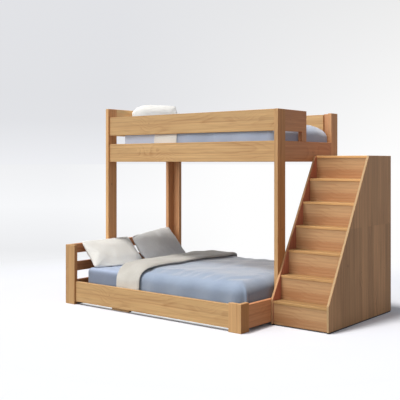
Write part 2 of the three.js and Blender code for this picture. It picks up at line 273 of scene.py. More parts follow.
class Shader(Tree):
    """A material with a Principled surface."""

    def __init__(self, name: str) -> None:
        """Makes an empty material.

        Args:
            name: The material's name.
        """
        self.material = bpy.data.materials.new(name)
        self.material.use_nodes = True
        super().__init__(self.material.node_tree)
        self.surface = self.add("ShaderNodeBsdfPrincipled")
        self.output = self.add("ShaderNodeOutputMaterial")
        self.join(self.surface.outputs["BSDF"], self.output.inputs["Surface"])

    def coat(self, **values: object) -> None:
        """Gives the surface's inputs their values, by name with _ for a space."""
        for name, value in values.items():
            self.feed(self.surface.inputs[name.replace("_", " ")], value)

    def bump(self, height: Socket, distance: float, strength: float) -> None:
        """Raises the surface by a height map, over any bump that it already has.

        Args:
            height: The height map.
            distance: Height of its level 1, in metres.
            strength: Share of it that shows.
        """
        node = self.add("ShaderNodeBump")
        node.inputs["Distance"].default_value = distance
        node.inputs["Strength"].default_value = strength
        self.join(height, node.inputs["Height"])
        normal = self.surface.inputs["Normal"]
        if normal.is_linked:
            self.join(normal.links[0].from_socket, node.inputs["Normal"])
        self.join(node.outputs["Normal"], normal)


@dataclass(frozen=True)
class Board:
    """A packed board: its corners, the way its fibres run and the log that it was cut from.

    tone is how light it is beside other boards of its finish.
    """

    low: Vector
    high: Vector
    grain: Grain
    log: int
    tone: float = 1.0

    def centre(self) -> Vector:
        """Middle of the board."""
        return (self.low + self.high) / 2

    def stands_on_edge(self) -> bool:
        """Says whether the board, with its fibres turned onto X, is wider along Z than along Y.

        Returns:
            True if it is wider along Z.
        """
        size = self.high - self.low
        size.rotate(self.grain.value)
        return abs(size.z) > abs(size.y)


@dataclass(frozen=True)
class WoodFinish:
    """Oiled softwood with soft growth rings, long fibres and a few small knots.

    ring is the width of a growth ring on the sawn face. heart is the place across the board below
    which the redder heartwood shows. stave is the width of a panel's glued staves, joint the height
    at which its two halves meet, and banding the colour of its narrow edges. The tint of the faces
    that look towards the foot of the bed is painted shade, darker and redder where those faces lie
    in shade, and the tint of those that look to its open side is painted light that lifts them.
    """

    pale: Colour
    dark: Colour
    ring: float = 0.022
    contrast: float = 0.4
    heart: float | None = None
    stave: float = 0.0
    joint: float = 0.0
    banding: Colour | None = None
    # painted shade on the faces that look to the foot of the bed
    foot_face_shade: Colour = (1.0, 1.0, 1.0)
    # painted light on the faces that look to the open side
    front: Colour = (1.0, 1.0, 1.0)
    roughness: float = 0.5

    FIBRES = ((0.9, 60.0), (0.36, 0.68))
    PORES = ((5.0, 170.0), (0.2, 0.8))
    CLOUDS = ((0.7, 12.0), (0.3, 0.7))
    SHOWN = ((1.6, 9.0), (0.42, 0.62))
    HEART_EDGE = ((2.0, 10.0), (0.0, 1.0))
    PORE_TONES = ((0.0, 0.86), (1.0, 1.09))
    CLOUD_TONES = ((0.0, 0.93), (1.0, 1.05))
    RING_TONES = ((0.0, 0.1), (0.5, 0.3), (0.85, 1.0), (0.93, 0.7), (1.0, 0.1))
    STAVE_TONES = ((0.0, 0.88), (1.0, 1.16))
    SEAM = ((0.488, 1.0), (0.495, 0.72))
    KNOT_CELLS = (2.6, 4.2, 0.0)
    KNOT_SHARE = 0.45
    KNOT_DEPTH = 0.4
    KNOT_CORE = ((0.0, 0.6), (0.05, 0.4), (0.1, 0.0))
    KNOT_PUSH = ((0.0, 1.0), (0.12, 0.55), (0.34, 0.0))
    PUSH_WIDTH = 0.035
    SWING = ((0.6, 1.2, 1.2), 2.0, (0.0, 0.3, 0.2))
    SHIVER = ((4.0, 22.0, 22.0), 3.0, (0.0, 0.02, 0.02))
    FIBRE_SHARE = 0.5
    HEART_WAVE = 0.03
    HEART_FADE = 60.0
    HEART_TONES = ((0.0, 0.0), (1.0, 0.5))
    PORE_ROUGHNESS = 0.12

    def material(self, name: str, board: Board) -> bpy.types.Material:
        """Makes the wood of one board.

        Args:
            name: The material's name.
            board: The board.

        Returns:
            The material.
        """
        chance = random.Random(board.log)
        shader = Shader(name)
        along = self._along_grain(shader, board)
        log = Vector((chance.uniform(2, 40), chance.uniform(-3, 3), chance.uniform(-3, 3)))
        grown = shader.vector("ADD", along, log)
        knots, push = self._knots(shader, grown)
        rings = self._rings(shader, along, grown, push, chance)
        fibres = self._stretched(shader, grown, *self.FIBRES)
        pores = self._stretched(shader, grown, *self.PORES)
        amount = self._figure(shader, along, grown, rings, fibres)
        colour = shader.mix(amount, self.pale, self.dark)
        colour = shader.tint(colour, shader.ramp(pores, self.PORE_TONES))
        clouds = self._stretched(shader, grown, *self.CLOUDS)
        colour = shader.tint(colour, shader.ramp(clouds, self.CLOUD_TONES))
        if self.stave:
            colour = shader.tint(colour, self._staves(shader, along, board))
        colour = shader.mix(knots, colour, tuple(part * self.KNOT_DEPTH for part in self.dark))
        colour = self._by_side(shader, colour)
        level = board.tone * chance.uniform(0.96, 1.04)
        colour = shader.tint(colour, (level, level, level))
        roughness = shader.math("MULTIPLY_ADD", pores, self.PORE_ROUGHNESS)
        roughness.node.inputs[2].default_value = self.roughness - self.PORE_ROUGHNESS / 2
        shader.coat(Base_Color=colour, Roughness=roughness, Specular_IOR_Level=0.3)
        shader.bump(pores, distance=0.0004, strength=0.4)
        shader.bump(rings, distance=0.0005, strength=0.3)
        return shader.material

    def _by_side(self, shader: Shader, colour: Socket) -> Socket:
        """Gives narrow edges their banding and paints shade on foot sides, light on front sides.

        Args:
            shader: The material that it is for.
            colour: The colour so far.

        Returns:
            The tinted colour.
        """
        facing, back, _ = shader.parts(shader.read("ShaderNodeNewGeometry", "True Normal"))
        if self.banding:
            wide = shader.math("GREATER_THAN", shader.math("ABSOLUTE", facing), 0.5)
            colour = shader.mix(wide, self.banding, colour)
        # painted shade: faces that look to the foot get a darker tint
        footward = shader.math("GREATER_THAN", facing, 0.5)
        colour = shader.mix(footward, colour, shader.tint(colour, self.foot_face_shade))
        # painted light: faces that look to the front get a lifting tint
        frontward = shader.math("LESS_THAN", back, -0.5)
        return shader.mix(frontward, colour, shader.tint(colour, self.front))

    def _along_grain(self, shader: Shader, board: Board) -> Socket:
        """Places the board's own axes at its middle: X along the fibres, Y across its wide face.

        Args:
            shader: The material that it is for.
            board: The board.

        Returns:
            Place along the board's own axes.
        """
        turn = shader.add("ShaderNodeMapping")
        middle = board.centre()
        middle.rotate(board.grain.value)
        shader.join(shader.place(), turn.inputs["Vector"])
        turn.inputs["Rotation"].default_value = board.grain.value
        turn.inputs["Location"].default_value = -middle
        turned = turn.outputs["Vector"]
        if not board.stands_on_edge():
            return turned
        x, y, z = shader.parts(turned)
        swapped = shader.add("ShaderNodeCombineXYZ")
        for source, target in zip((x, z, y), swapped.inputs):
            shader.join(source, target)
        return swapped.outputs[0]

    def _stretched(
        self, shader: Shader, grown: Socket, scale: tuple[float, float], span: tuple[float, float]
    ) -> Socket:
        """Noise drawn out along the grain.

        Args:
            shader: The material that it is for.
            grown: Place in the log.
            scale: Cells to the metre along the grain and across it.
            span: Noise levels that become 0 and 1.

        Returns:
            The level, from 0 to 1.
        """
        lengthways, across = scale
        vector = shader.vector("MULTIPLY", grown, (lengthways, across, across))
        least, most = span
        return shader.ramp(shader.noise(vector, 1.0, 4.0), ((least, 0), (most, 1)))

    def _knots(self, shader: Shader, grown: Socket) -> tuple[Socket, Socket]:
        """Small knots that run through the board, and the bulge of the rings round each.

        Args:
            shader: The material that it is for.
            grown: Place in the log.

        Returns:
            How dark a knot is, and how far it pushes the rings, from 0 to 1.
        """
        cells = shader.add("ShaderNodeTexVoronoi", voronoi_dimensions="2D")
        shader.join(shader.vector("MULTIPLY", grown, self.KNOT_CELLS), cells.inputs["Vector"])
        cells.inputs["Scale"].default_value = 1.0
        pick = shader.parts(cells.outputs["Color"])[0]
        size = shader.math("SUBTRACT", pick, 1 - self.KNOT_SHARE)
        size = shader.math("MAXIMUM", size, 0.001)
        inside = shader.math("DIVIDE", cells.outputs["Distance"], size)
        core = shader.ramp(inside, self.KNOT_CORE)
        return core, shader.ramp(cells.outputs["Distance"], self.KNOT_PUSH)

    def _rings(
        self,
        shader: Shader,
        along: Socket,
        grown: Socket,
        push: Socket,
        chance: random.Random,
    ) -> Socket:
        """Growth rings about a pith that wanders, which leaves arches on a flat-sawn face.

        Args:
            shader: The material that it is for.
            along: Place along the board's own axes.
            grown: Place in the log.
            push: How far a knot pushes the rings, from 0 to 1.
            chance: The board's own random numbers.

        Returns:
            How dark a ring is, from 0 to 1.
        """
        swing = self._wander(shader, grown, *self.SWING)
        shiver = self._wander(shader, grown, *self.SHIVER)
        side = chance.choice((-1, 1))
        pith = (0.0, chance.uniform(-0.05, 0.05), side * chance.uniform(0.04, 0.09))
        bent = shader.vector("ADD", along, pith, swing, shiver)
        radius = shader.vector("LENGTH", shader.vector("MULTIPLY", bent, (0.0, 1.0, 1.0)))
        radius = shader.math("ADD", radius, shader.math("MULTIPLY", push, self.PUSH_WIDTH))
        turns = shader.math("FRACT", shader.math("DIVIDE", radius, self.ring))
        return shader.ramp(turns, self.RING_TONES)

    def _wander(
        self, shader: Shader, grown: Socket, scale: Point, detail: float, reach: Point
    ) -> Socket:
        """How far a noise of a scale along each axis pushes a place, up to half the reach.

        Args:
            shader: The material that it is for.
            grown: Place in the log.
            scale: Cells of the noise to the metre along each axis.
            detail: Number of its finer layers.
            reach: Twice the longest push along each axis, in metres.

        Returns:
            The push.
        """
        place = shader.vector("MULTIPLY", grown, scale)
        field = shader.noise(place, 1.0, detail, "Color")
        return shader.vector("MULTIPLY", shader.vector("SUBTRACT", field, (0.5,) * 3), reach)

    def _figure(
        self, shader: Shader, along: Socket, grown: Socket, rings: Socket, fibres: Socket
    ) -> Socket:
        """Adds up what darkens the wood: fibres, rings where they show, and the heartwood.

        Args:
            shader: The material that it is for.
            along: Place along the board's own axes.
            grown: Place in the log.
            rings: How dark a ring is.
            fibres: How dark the fibres are.

        Returns:
            Share of the dark colour.
        """
        shown = self._stretched(shader, grown, *self.SHOWN)
        drawn = shader.math("MULTIPLY", rings, shown, self.contrast)
        amount = shader.math("ADD", shader.math("MULTIPLY", fibres, self.FIBRE_SHARE), drawn)
        if self.heart is None:
            return amount
        edge = self._stretched(shader, grown, *self.HEART_EDGE)
        wave = shader.math("MULTIPLY", edge, self.HEART_WAVE)
        place = shader.math("ADD", shader.parts(along)[1], wave)
        past = shader.math("SUBTRACT", self.heart + self.HEART_WAVE / 2, place)
        inside = shader.math("MULTIPLY", past, self.HEART_FADE)
        return shader.math("ADD", amount, shader.ramp(inside, self.HEART_TONES))

    def _staves(self, shader: Shader, along: Socket, board: Board) -> Socket:
        """A tone of its own for each glued stave, with other staves over the panel's joint.

        Args:
            shader: The material that it is for.
            along: Place along the board's own axes.
            board: The board.

        Returns:
            The tone, with a seam between staves.
        """
        lengthways, across, _ = shader.parts(along)
        half = shader.math("GREATER_THAN", lengthways, self.joint - board.centre().z)
        moved = shader.math("ADD", across, shader.math("MULTIPLY", half, self.stave * 0.4))
        count = shader.math("DIVIDE", moved, self.stave)
        other = shader.math("MULTIPLY", half, 31.0)
        number = shader.math("ADD", shader.math("FLOOR", count), other)
        pick = shader.add("ShaderNodeTexWhiteNoise", noise_dimensions="1D")
        shader.join(number, pick.inputs["W"])
        tone = shader.ramp(pick.outputs["Value"], self.STAVE_TONES)
        within = shader.math("ABSOLUTE", shader.math("SUBTRACT", shader.math("FRACT", count), 0.5))
        return shader.tint(tone, shader.ramp(within, self.SEAM))


@dataclass(frozen=True)
class ClothFinish:
    """Woven cotton: its colour, thread and the small creases that it keeps.

    The colour is painted deeper where the cloth faces up, as painted shade on its tops, or paler
    where that setting is below zero, as painted light; a deep blue painted shade falls the same way
    where it faces the foot of the bed.
    """

    name: str
    colour: Colour
    shade: Colour
    thread: float = 0.0011
    slub: float = 0.3
    crease: float = 0.0012
    sheen: float = 0.25
    # painted shade on the tops, or painted light where below zero
    top_shade: float = 0.0
    # painted blue shade where the cloth faces the foot of the bed
    foot_end_shade: float = 0.0

    PATCHES = ((0.3, 0.0), (0.75, 0.6))
    # tint and normal ranges of the painted shade on foot faces and tops
    FOOT_END_SHADE_TINT = (0.1, 0.14, 0.26)
    FOOT_END_SHADE_START = 0.84
    FOOT_END_SHADE_FULL = 0.99
    TOP_SHADE_START = 0.2
    TOP_SHADE_FULL = 0.8

    def material(self) -> bpy.types.Material:
        """Makes the cloth. Its weave follows the piece's UV map, which is in metres.

        Returns:
            The material.
        """
        shader = Shader(self.name)
        place = shader.place()
        patches = shader.noise(place, 7.0, 3.0)
        colour = shader.mix(shader.ramp(patches, self.PATCHES), self.colour, self.shade)
        threads = self._threads(shader, shader.read("ShaderNodeTexCoord", "UV"))
        tone = shader.ramp(threads, ((0.0, 1 - 0.22 * self.slub), (1.0, 1 + 0.1 * self.slub)))
        colour = shader.tint(colour, tone)
        footward, _, up = shader.parts(shader.read("ShaderNodeNewGeometry", "Normal"))
        # painted shade on the tops, or painted light where the setting is below zero
        top_shade = shader.ramp(up, ((self.TOP_SHADE_START, 1.0), (self.TOP_SHADE_FULL, 1 - self.top_shade)))
        colour = shader.tint(colour, top_shade)
        # painted blue shade on faces that look to the foot
        foot_end_shade = shader.ramp(footward, ((self.FOOT_END_SHADE_START, 0.0), (self.FOOT_END_SHADE_FULL, self.foot_end_shade)))
        colour = shader.mix(foot_end_shade, colour, shader.tint(colour, self.FOOT_END_SHADE_TINT))
        shader.coat(Base_Color=colour, Roughness=0.92, Specular_IOR_Level=0.2)
        shader.coat(Sheen_Weight=self.sheen, Sheen_Roughness=0.42)
        shader.bump(shader.noise(place, 26.0, 3.0), distance=self.crease * 3, strength=0.5)
        shader.bump(threads, distance=self.thread * 0.4, strength=0.5)
        return shader.material

    def _threads(self, shader: Shader, uv: Socket) -> Socket:
        """Warp and weft crossing at right angles, thicker in places.

        Args:
            shader: The material that it is for.
            uv: Place on the flat cloth, in metres.

        Returns:
            Height of the threads, from 0 to 1.
        """
        turns = 1.0 / self.thread
        warp = shader.add("ShaderNodeTexWave", bands_direction="X")
        weft = shader.add("ShaderNodeTexWave", bands_direction="Y")
        for wave in (warp, weft):
            shader.join(uv, wave.inputs["Vector"])
            wave.inputs["Scale"].default_value = turns / (2 * math.pi)
            wave.inputs["Distortion"].default_value = 0.6
        both = shader.math("MAXIMUM", warp.outputs["Fac"], weft.outputs["Fac"])
        slubs = shader.noise(shader.vector("MULTIPLY", uv, (40.0, 520.0, 1.0)), 1.0)
        return shader.math("MULTIPLY", shader.math("ADD", both, slubs), 0.5)


@dataclass(frozen=True)
class PlainFinish:
    """A moulded or drawn surface of one colour with a fine uneven skin."""

    name: str
    colour: Colour
    roughness: float
    metallic: float = 0.0

    def material(self) -> bpy.types.Material:
        """Makes the finish.

        Returns:
            The material.
        """
        shader = Shader(self.name)
        skin = shader.noise(shader.place(), 900.0)
        colour = shader.tint(self.colour, shader.ramp(skin, ((0.3, 0.9), (0.7, 1.08))))
        shader.coat(Base_Color=colour, Roughness=self.roughness, Metallic=self.metallic)
        shader.bump(skin, distance=0.0002, strength=0.4)
        return shader.material


HONEY = WoodFinish(
    pale=linear(216, 175, 122), dark=linear(173, 124, 78), ring=0.013, contrast=0.42
)
# POST's foot-side tint is painted shade, a darker, redder tone on the faces that lie in shade.
POST = WoodFinish(
    pale=linear(206, 163, 113),
    dark=linear(172, 124, 80),
    contrast=0.3,
    foot_face_shade=(0.92, 0.72, 0.62),
)
# HEAD_POST and HEADBOARD are lighter copies of the post and board wood, painted light on the head
# end of the upper bed; HEAD_POST's foot-side tint is painted shade.
HEAD_POST = WoodFinish(
    pale=linear(240, 190, 132),
    dark=linear(204, 148, 96),
    contrast=0.3,
    foot_face_shade=(0.96, 0.8, 0.76),
)
HEADBOARD = WoodFinish(pale=linear(255, 212, 150), dark=linear(246, 182, 122))
# A darker, redder copy of the wood: painted shade on the crossways end boards and the foot block,
# whose seen faces lie in shade.
RUSSET_SHADE = WoodFinish(pale=linear(206, 146, 104), dark=linear(176, 112, 76))
# BACK is painted light and shade on the back posts: redder, as the shaded end boards are, but
# lighter than the other wood to lift the shadow of the upper bed on them.
BACK = WoodFinish(pale=linear(228, 170, 120), dark=linear(192, 128, 88))
# TREAD is a darker wood than the risers to hold down its lit tops, which is painted shade, and its
# front tint is painted light on the treads' front edges.
TREAD = WoodFinish(
    pale=linear(192, 152, 102), dark=linear(166, 122, 80), front=(1.45, 1.4, 1.32)
)
RISER = WoodFinish(pale=linear(206, 163, 117), dark=linear(178, 127, 86), heart=0.0)
# INNER_SIDE's foot-side tint is painted shade: a deep red on the panel's inner face, which lies in
# shade.
INNER_SIDE = WoodFinish(
    pale=linear(226, 172, 124),
    dark=linear(184, 128, 84),
    stave=0.11,
    joint=0.77,
    banding=linear(196, 150, 106),
    foot_face_shade=(0.7, 0.46, 0.56),
)
OUTER_SIDE = WoodFinish(
    pale=linear(214, 163, 119),
    dark=linear(160, 115, 82),
    contrast=0.5,
    stave=0.11,
    joint=0.77,
    banding=linear(186, 154, 113),
)
STAIR_BACK = WoodFinish(
    pale=linear(206, 161, 112),
    dark=linear(166, 120, 80),
    stave=0.11,
    joint=0.77,
)
SLAT = WoodFinish(pale=linear(222, 196, 150), dark=linear(196, 160, 112), ring=0.012)
STRIP = PlainFinish("glide_plastic", linear(44, 42, 41), 0.6)
STEEL = PlainFinish("zinc_steel", linear(176, 176, 172), 0.38, 0.9)
# On these cloths the top setting paints shade on the tops, or light where it is below zero, and the
# foot setting paints a blue shade on faces that look to the foot of the bed.
SHEETS = {
    Level.LOWER: ClothFinish(
        "blue_sheet", linear(137, 147, 166), linear(129, 139, 159), top_shade=-0.6
    ),
    # painted light: a much paler copy of the blue sheet for the upper bed, whose sides sit in the
    # shade of its guard
    Level.UPPER: ClothFinish(
        "blue_sheet_painted_light", linear(224, 233, 252), linear(214, 224, 246), top_shade=0.35
    ),
}
COVERS = {
    Level.LOWER: ClothFinish(
        "blue_duvet", linear(141, 153, 171), linear(130, 143, 163), sheen=1.0, top_shade=-0.18, foot_end_shade=0.25
    ),
    # painted light: a paler copy of the blue duvet for the upper bed
    Level.UPPER: ClothFinish(
        "blue_duvet_painted_light", linear(190, 202, 223), linear(179, 192, 217), sheen=1.0, foot_end_shade=0.3
    ),
}
LININGS = {
    Level.LOWER: ClothFinish(
        "cream_linen",
        linear(216, 212, 204),
        linear(190, 184, 173),
        thread=0.0016,
        slub=0.9,
        top_shade=0.24,
    ),
    # painted light: a paler copy of the cream linen for the upper bed
    Level.UPPER: ClothFinish(
        "cream_linen_painted_light", linear(252, 248, 240), linear(242, 236, 226), thread=0.0016, slub=0.8
    ),
}
# WHITE and GREY paint shade on the pillows' tops.
WHITE = ClothFinish(
    "white_cotton", linear(251, 249, 243), linear(240, 237, 230), slub=0.5, top_shade=0.16
)
# painted light: a lighter copy of the white cotton for the upper pillow
LIT_WHITE = ClothFinish(
    "white_cotton_painted_light", linear(255, 253, 248), linear(254, 251, 245), slub=0.3
)
GREY = ClothFinish(
    "grey_linen",
    linear(244, 243, 241),
    linear(224, 223, 221),
    thread=0.0015,
    slub=0.8,
    top_shade=0.16,
)


@contextmanager
def edited(mesh: bpy.types.Mesh) -> Iterator[bmesh.types.BMesh]:
    """Opens a mesh for editing, with a UV map, and writes it back.

    Args:
        mesh: The mesh.

    Yields:
        What the edits are made in.
    """
    builder = bmesh.new()
    builder.from_mesh(mesh)
    builder.loops.layers.uv.verify()
    yield builder
    builder.to_mesh(mesh)
    builder.free()


def new_object(name: str, mesh: bpy.types.Mesh) -> bpy.types.Object:
    """Puts a mesh in the scene as an object at the origin.

    Args:
        name: The object's name.
        mesh: Its mesh.

    Returns:
        The new object.
    """
    piece = bpy.data.objects.new(name, mesh)
    bpy.context.collection.objects.link(piece)
    return piece


def lay_quads(
    builder: bmesh.types.BMesh,
    points: Sequence[Sequence[bmesh.types.BMVert]],
    flat: Callable[[int, int], tuple[float, float]],
    closed: bool = False,
) -> None:
    """Joins a table of points by quads.

    Args:
        builder: The mesh in the making, with its UV layer.
        points: The points, by column and row.
        flat: Place of the point at a column and row on the flat cloth, in metres.
        closed: Joins the last row back to the first.
    """
    layer = builder.loops.layers.uv.active
    rows = len(points[0])
    for i in range(len(points) - 1):
        for j in range(rows if closed else rows - 1):
            k = (j + 1) % rows
            corners = ((i, j, j), (i + 1, j, j), (i + 1, k, j + 1), (i, k, j + 1))
            face = builder.faces.new([points[m][n] for m, n, _ in corners])
            face.smooth = True
            for loop, (m, _, n) in zip(face.loops, corners):
                loop[layer].uv = flat(m, n)


def grid_mesh(
    name: str,
    columns: int,
    rows: int,
    point: Callable[[int, int], Vector],
    flat: Callable[[int, int], tuple[float, float]],
    closed: bool = False,
) -> bpy.types.Mesh:
    """Builds a grid of quads from a rule for its points.

    Args:
        name: The mesh's name.
        columns: Number of points along the first direction.
        rows: Number of points along the second direction.
        point: Place of the point at a column and row.
        flat: Place of the same point on the flat cloth, in metres.
        closed: Joins the last row back to the first.

    Returns:
        The mesh, with its flat places as a UV map.
    """
    mesh = bpy.data.meshes.new(name)
    with edited(mesh) as builder:
        points = [[builder.verts.new(point(i, j)) for j in range(rows)] for i in range(columns)]
        lay_quads(builder, points, flat, closed)
    return mesh


def finish_mesh(piece: bpy.types.Object, *modifiers: tuple[str, dict[str, object]]) -> None:
    """Adds modifiers to a piece and applies them at once.

    Args:
        piece: The object to finish.
        modifiers: Kind and settings of each modifier, in order.
    """
    for kind, settings in modifiers:
        modifier = piece.modifiers.new(kind.lower(), kind)
        for name, value in settings.items():
            setattr(modifier, name, value)
    apply_modifiers(piece)
    piece.data.polygons.foreach_set("use_smooth", [True] * len(piece.data.polygons))


def apply_modifiers(piece: bpy.types.Object) -> None:
    """Makes what a piece's modifiers show its own mesh.

    Args:
        piece: The object, which loses them.
    """
    depsgraph = bpy.context.evaluated_depsgraph_get()
    done = bpy.data.meshes.new_from_object(piece.evaluated_get(depsgraph), depsgraph=depsgraph)
    piece.modifiers.clear()
    piece.data = done


def paint(piece: bpy.types.Object, material: bpy.types.Material) -> None:
    """Gives a piece one material in place of any that it has."""
    piece.data.materials.clear()
    piece.data.materials.append(material)


def outward(mesh: bpy.types.Mesh) -> None:
    """Merges doubles and turns every face of a closed mesh outwards.

    Args:
        mesh: The closed mesh.
    """
    with edited(mesh) as builder:
        bmesh.ops.remove_doubles(builder, verts=builder.verts, dist=WELD)
        bmesh.ops.recalc_face_normals(builder, faces=builder.faces)


@dataclass(frozen=True)
class ClothRun:
    """Settings of one short cloth simulation.

    growth is the share by which the cloth grows, and limit how far a point may move, in metres.
    """

    frames: int = 20
    pressure: float = 0.0
    growth: float = 0.0
    gravity: float = 0.0
    stiffness: float = 15.0
    bending: float = 0.5
    limit: float = 0.016
    quality: int = 6
    mass: float = 0.25

    def settle(self, piece: bpy.types.Object, held: Sequence[int] = ()) -> None:
        """Runs the simulation and keeps its shape in the mesh.

        Args:
            piece: The cloth, or a closed padded form.
            held: Vertices that stay where they are.
        """
        start = [vertex.co.copy() for vertex in piece.data.vertices]
        cloth = piece.modifiers.new("settle", "CLOTH")
        rules = cloth.settings
        rules.quality = self.quality
        rules.mass = self.mass
        rules.tension_stiffness = self.stiffness
        rules.compression_stiffness = self.stiffness
        rules.shear_stiffness = self.stiffness * 0.5
        rules.bending_stiffness = self.bending
        rules.effector_weights.gravity = self.gravity
        rules.use_pressure = self.pressure != 0
        rules.uniform_pressure_force = self.pressure
        rules.shrink_min = -self.growth
        if held:
            group = piece.vertex_groups.new(name="held")
            group.add(list(held), 1.0, "REPLACE")
            rules.vertex_group_mass = "held"
        cloth.point_cache.frame_end = self.frames
        scene = bpy.context.scene
        for number in range(1, self.frames + 1):
            scene.frame_set(number)
        shaped = piece.evaluated_get(bpy.context.evaluated_depsgraph_get()).data
        moved = [vertex.co.copy() for vertex in shaped.vertices]
        piece.modifiers.clear()
        piece.vertex_groups.clear()
        for vertex, old, new in zip(piece.data.vertices, start, moved):
            step = new - old
            if step.length > self.limit:
                step *= self.limit / step.length
            vertex.co = old + step
        piece.data.update()
        scene.frame_set(1)


class PackedWood:
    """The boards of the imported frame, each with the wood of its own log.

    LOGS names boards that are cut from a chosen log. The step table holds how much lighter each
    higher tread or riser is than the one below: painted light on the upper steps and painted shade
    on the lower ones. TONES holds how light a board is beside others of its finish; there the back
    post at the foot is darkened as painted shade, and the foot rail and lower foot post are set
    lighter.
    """

    PANELS = {
        "stair_side_bed": INNER_SIDE,
        "stair_side_open": OUTER_SIDE,
        "stair_back_panel": STAIR_BACK,
    }
    HEAD = {"upper_post_head": HEAD_POST, "headboard": HEADBOARD}
    LOGS = {"lower_rail_front": 11, "upper_rail_front": 20}
    RISER_LOG = 7
    # painted light on the higher steps and painted shade on the lower ones
    STEP_LIGHT = {"tread": 0.1, "riser": 0.02}
    MIDDLE_STEP = 4
    # back_post_foot is darkened as painted shade; the foot rail and lower foot post are set lighter
    TONES = {"back_post_foot": 0.84, "foot_rail_front": 1.25, "lower_post_foot": 1.1}

    def dress(self) -> None:
        """Gives every rigid node its finish."""
        strip = STRIP.material()
        for number, (name, node) in enumerate(sorted(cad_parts.items())):
            if name.endswith(("_mattress", "_duvet")) or "_pillow" in name:
                continue
            material = strip if name.startswith("glide_") else self._wood(name, number)
            paint(node, material)
            log.info("dressed %s", name)

    def _wood(self, name: str, number: int) -> bpy.types.Material:
        """Picks the finish and the grain of one board.

        Args:
            name: The node's name.
            number: Its number, which picks its log.

        Returns:
            The board's material.
        """
        low, high = box_of(name)
        size = high - low
        longest = max(range(3), key=lambda axis: size[axis])
        grain = (Grain.LENGTHWAYS, Grain.CROSSWAYS, Grain.UPRIGHT)[longest]
        finish = HONEY
        number = self.LOGS.get(name, number)
        part, _, step = name.partition("_")
        tone = self.TONES.get(name, 1.0)
        # painted light upwards and painted shade downwards on treads and risers
        if part in self.STEP_LIGHT:
            tone += self.STEP_LIGHT[part] * (int(step) - self.MIDDLE_STEP)
        if name in self.PANELS:
            finish, grain = self.PANELS[name], Grain.UPRIGHT
        # painted light: the head post and headboard take their lighter wood
        elif name in self.HEAD:
            finish = self.HEAD[name]
        elif name.endswith("slat_base"):
            finish, grain = SLAT, Grain.CROSSWAYS
        elif part == "tread":
            finish, grain = TREAD, Grain.LENGTHWAYS
        elif part == "riser":
            finish, number = RISER, self.RISER_LOG
        # painted light and shade: the back posts take the BACK wood
        elif name.startswith("back_post"):
            finish = BACK
        elif "post" in name:
            finish = POST
        # painted shade: crossways end boards and the foot block take the darker, redder wood
        elif grain is Grain.CROSSWAYS or name == "guard_foot_block":
            finish = RUSSET_SHADE
        return finish.material(name, Board(low, high, grain, number, tone))


@dataclass
class Mattress:
    """A mattress in its fitted sheet.

    tuck is how deep the pleats of its sides are, slack how far its top gives, and rim the height
    over which the one turns into the other.
    """

    level: Level
    radius: float = 0.045
    cell: float = 0.02
    tuck: float = 0.004
    slack: float = 0.003
    rim: float = 0.08

    def build(self) -> bpy.types.Object:
        """Makes the mattress from the box of its node and dresses it.

        Returns:
            The new object.
        """
        node = f"{self.level.value}_mattress"
        low, high = box_of(node)
        piece = new_object(f"{node}_sheet", rounded_block(node, low, high, self.radius, self.cell))
        self._wrinkle(piece.data, low, high)
        finish_mesh(piece, ("SUBSURF", {"levels": 1, "render_levels": 1}))
        paint(piece, SHEETS[self.level].material())
        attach(piece, BODY)
        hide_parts(node)
        return piece

    def _wrinkle(self, mesh: bpy.types.Mesh, low: Vector, high: Vector) -> None:
        """Pulls soft upright tucks into the sides and slack into the top of the sheet.

        Args:
            mesh: The mattress.
            low: Lowest corner of its node.
            high: Highest corner of its node.
        """
        top = high.z
        for vertex in mesh.vertices:
            spot = vertex.co
            depth = ease((top - spot.z) / self.rim)
            wave = swell(spot.x * 9, spot.y * 9, spot.z * 2)
            give = noise.noise(spot * 4.0)
            inward = (low + high) / 2 - spot
            inward.z = 0
            inward.normalize()
            vertex.co += inward * (self.tuck * depth * (0.6 + wave))
            vertex.co.z -= self.slack * (1 - depth) * (0.6 + give)


def rounded_block(
    name: str, low: Vector, high: Vector, radius: float, cell: float
) -> bpy.types.Mesh:
    """Builds a closed block with every edge rounded, from grids of even cells.

    Args:
        name: The mesh's name.
        low: Lowest corner.
        high: Highest corner.
        radius: Radius of all its edges.
        cell: Size of a grid cell.

    Returns:
        The mesh, with each side's own flat coordinates as its UV map.
    """
    mesh = bpy.data.meshes.new(name)
    inner_low = low + Vector((radius,) * 3)
    inner_high = high - Vector((radius,) * 3)

    def lay_side(side: Vector, axes: Sequence[int]) -> None:
        """Lays the side at one of the two corners that spans two axes.

        Args:
            side: The corner.
            axes: The two axes.
        """
        counts = [max(2, round((high[a] - low[a]) / cell)) for a in axes]

        def flat(i: int, j: int) -> tuple[float, ...]:
            """Place on the side, along its two axes."""
            shares = zip(axes, (i, j), counts)
            return tuple(low[a] + (high[a] - low[a]) * n / count for a, n, count in shares)

        def point(i: int, j: int) -> bmesh.types.BMVert:
            """Adds the point at a column and row, pulled in where the edges are rounded.

            Args:
                i: The column.
                j: The row.

            Returns:
                The point.
            """
            spot = side.copy()
            spot[axes[0]], spot[axes[1]] = flat(i, j)
            core = Vector(min(max(spot[a], inner_low[a]), inner_high[a]) for a in range(3))
            return builder.verts.new(core + (spot - core).normalized() * radius)

        rows = range(counts[1] + 1)
        points = [[point(i, j) for j in rows] for i in range(counts[0] + 1)]
        lay_quads(builder, points, flat)

    with edited(mesh) as builder:
        for axes in ((1, 2), (0, 2), (0, 1)):
            for side in (low, high):
                lay_side(side, axes)
    outward(mesh)
    return mesh


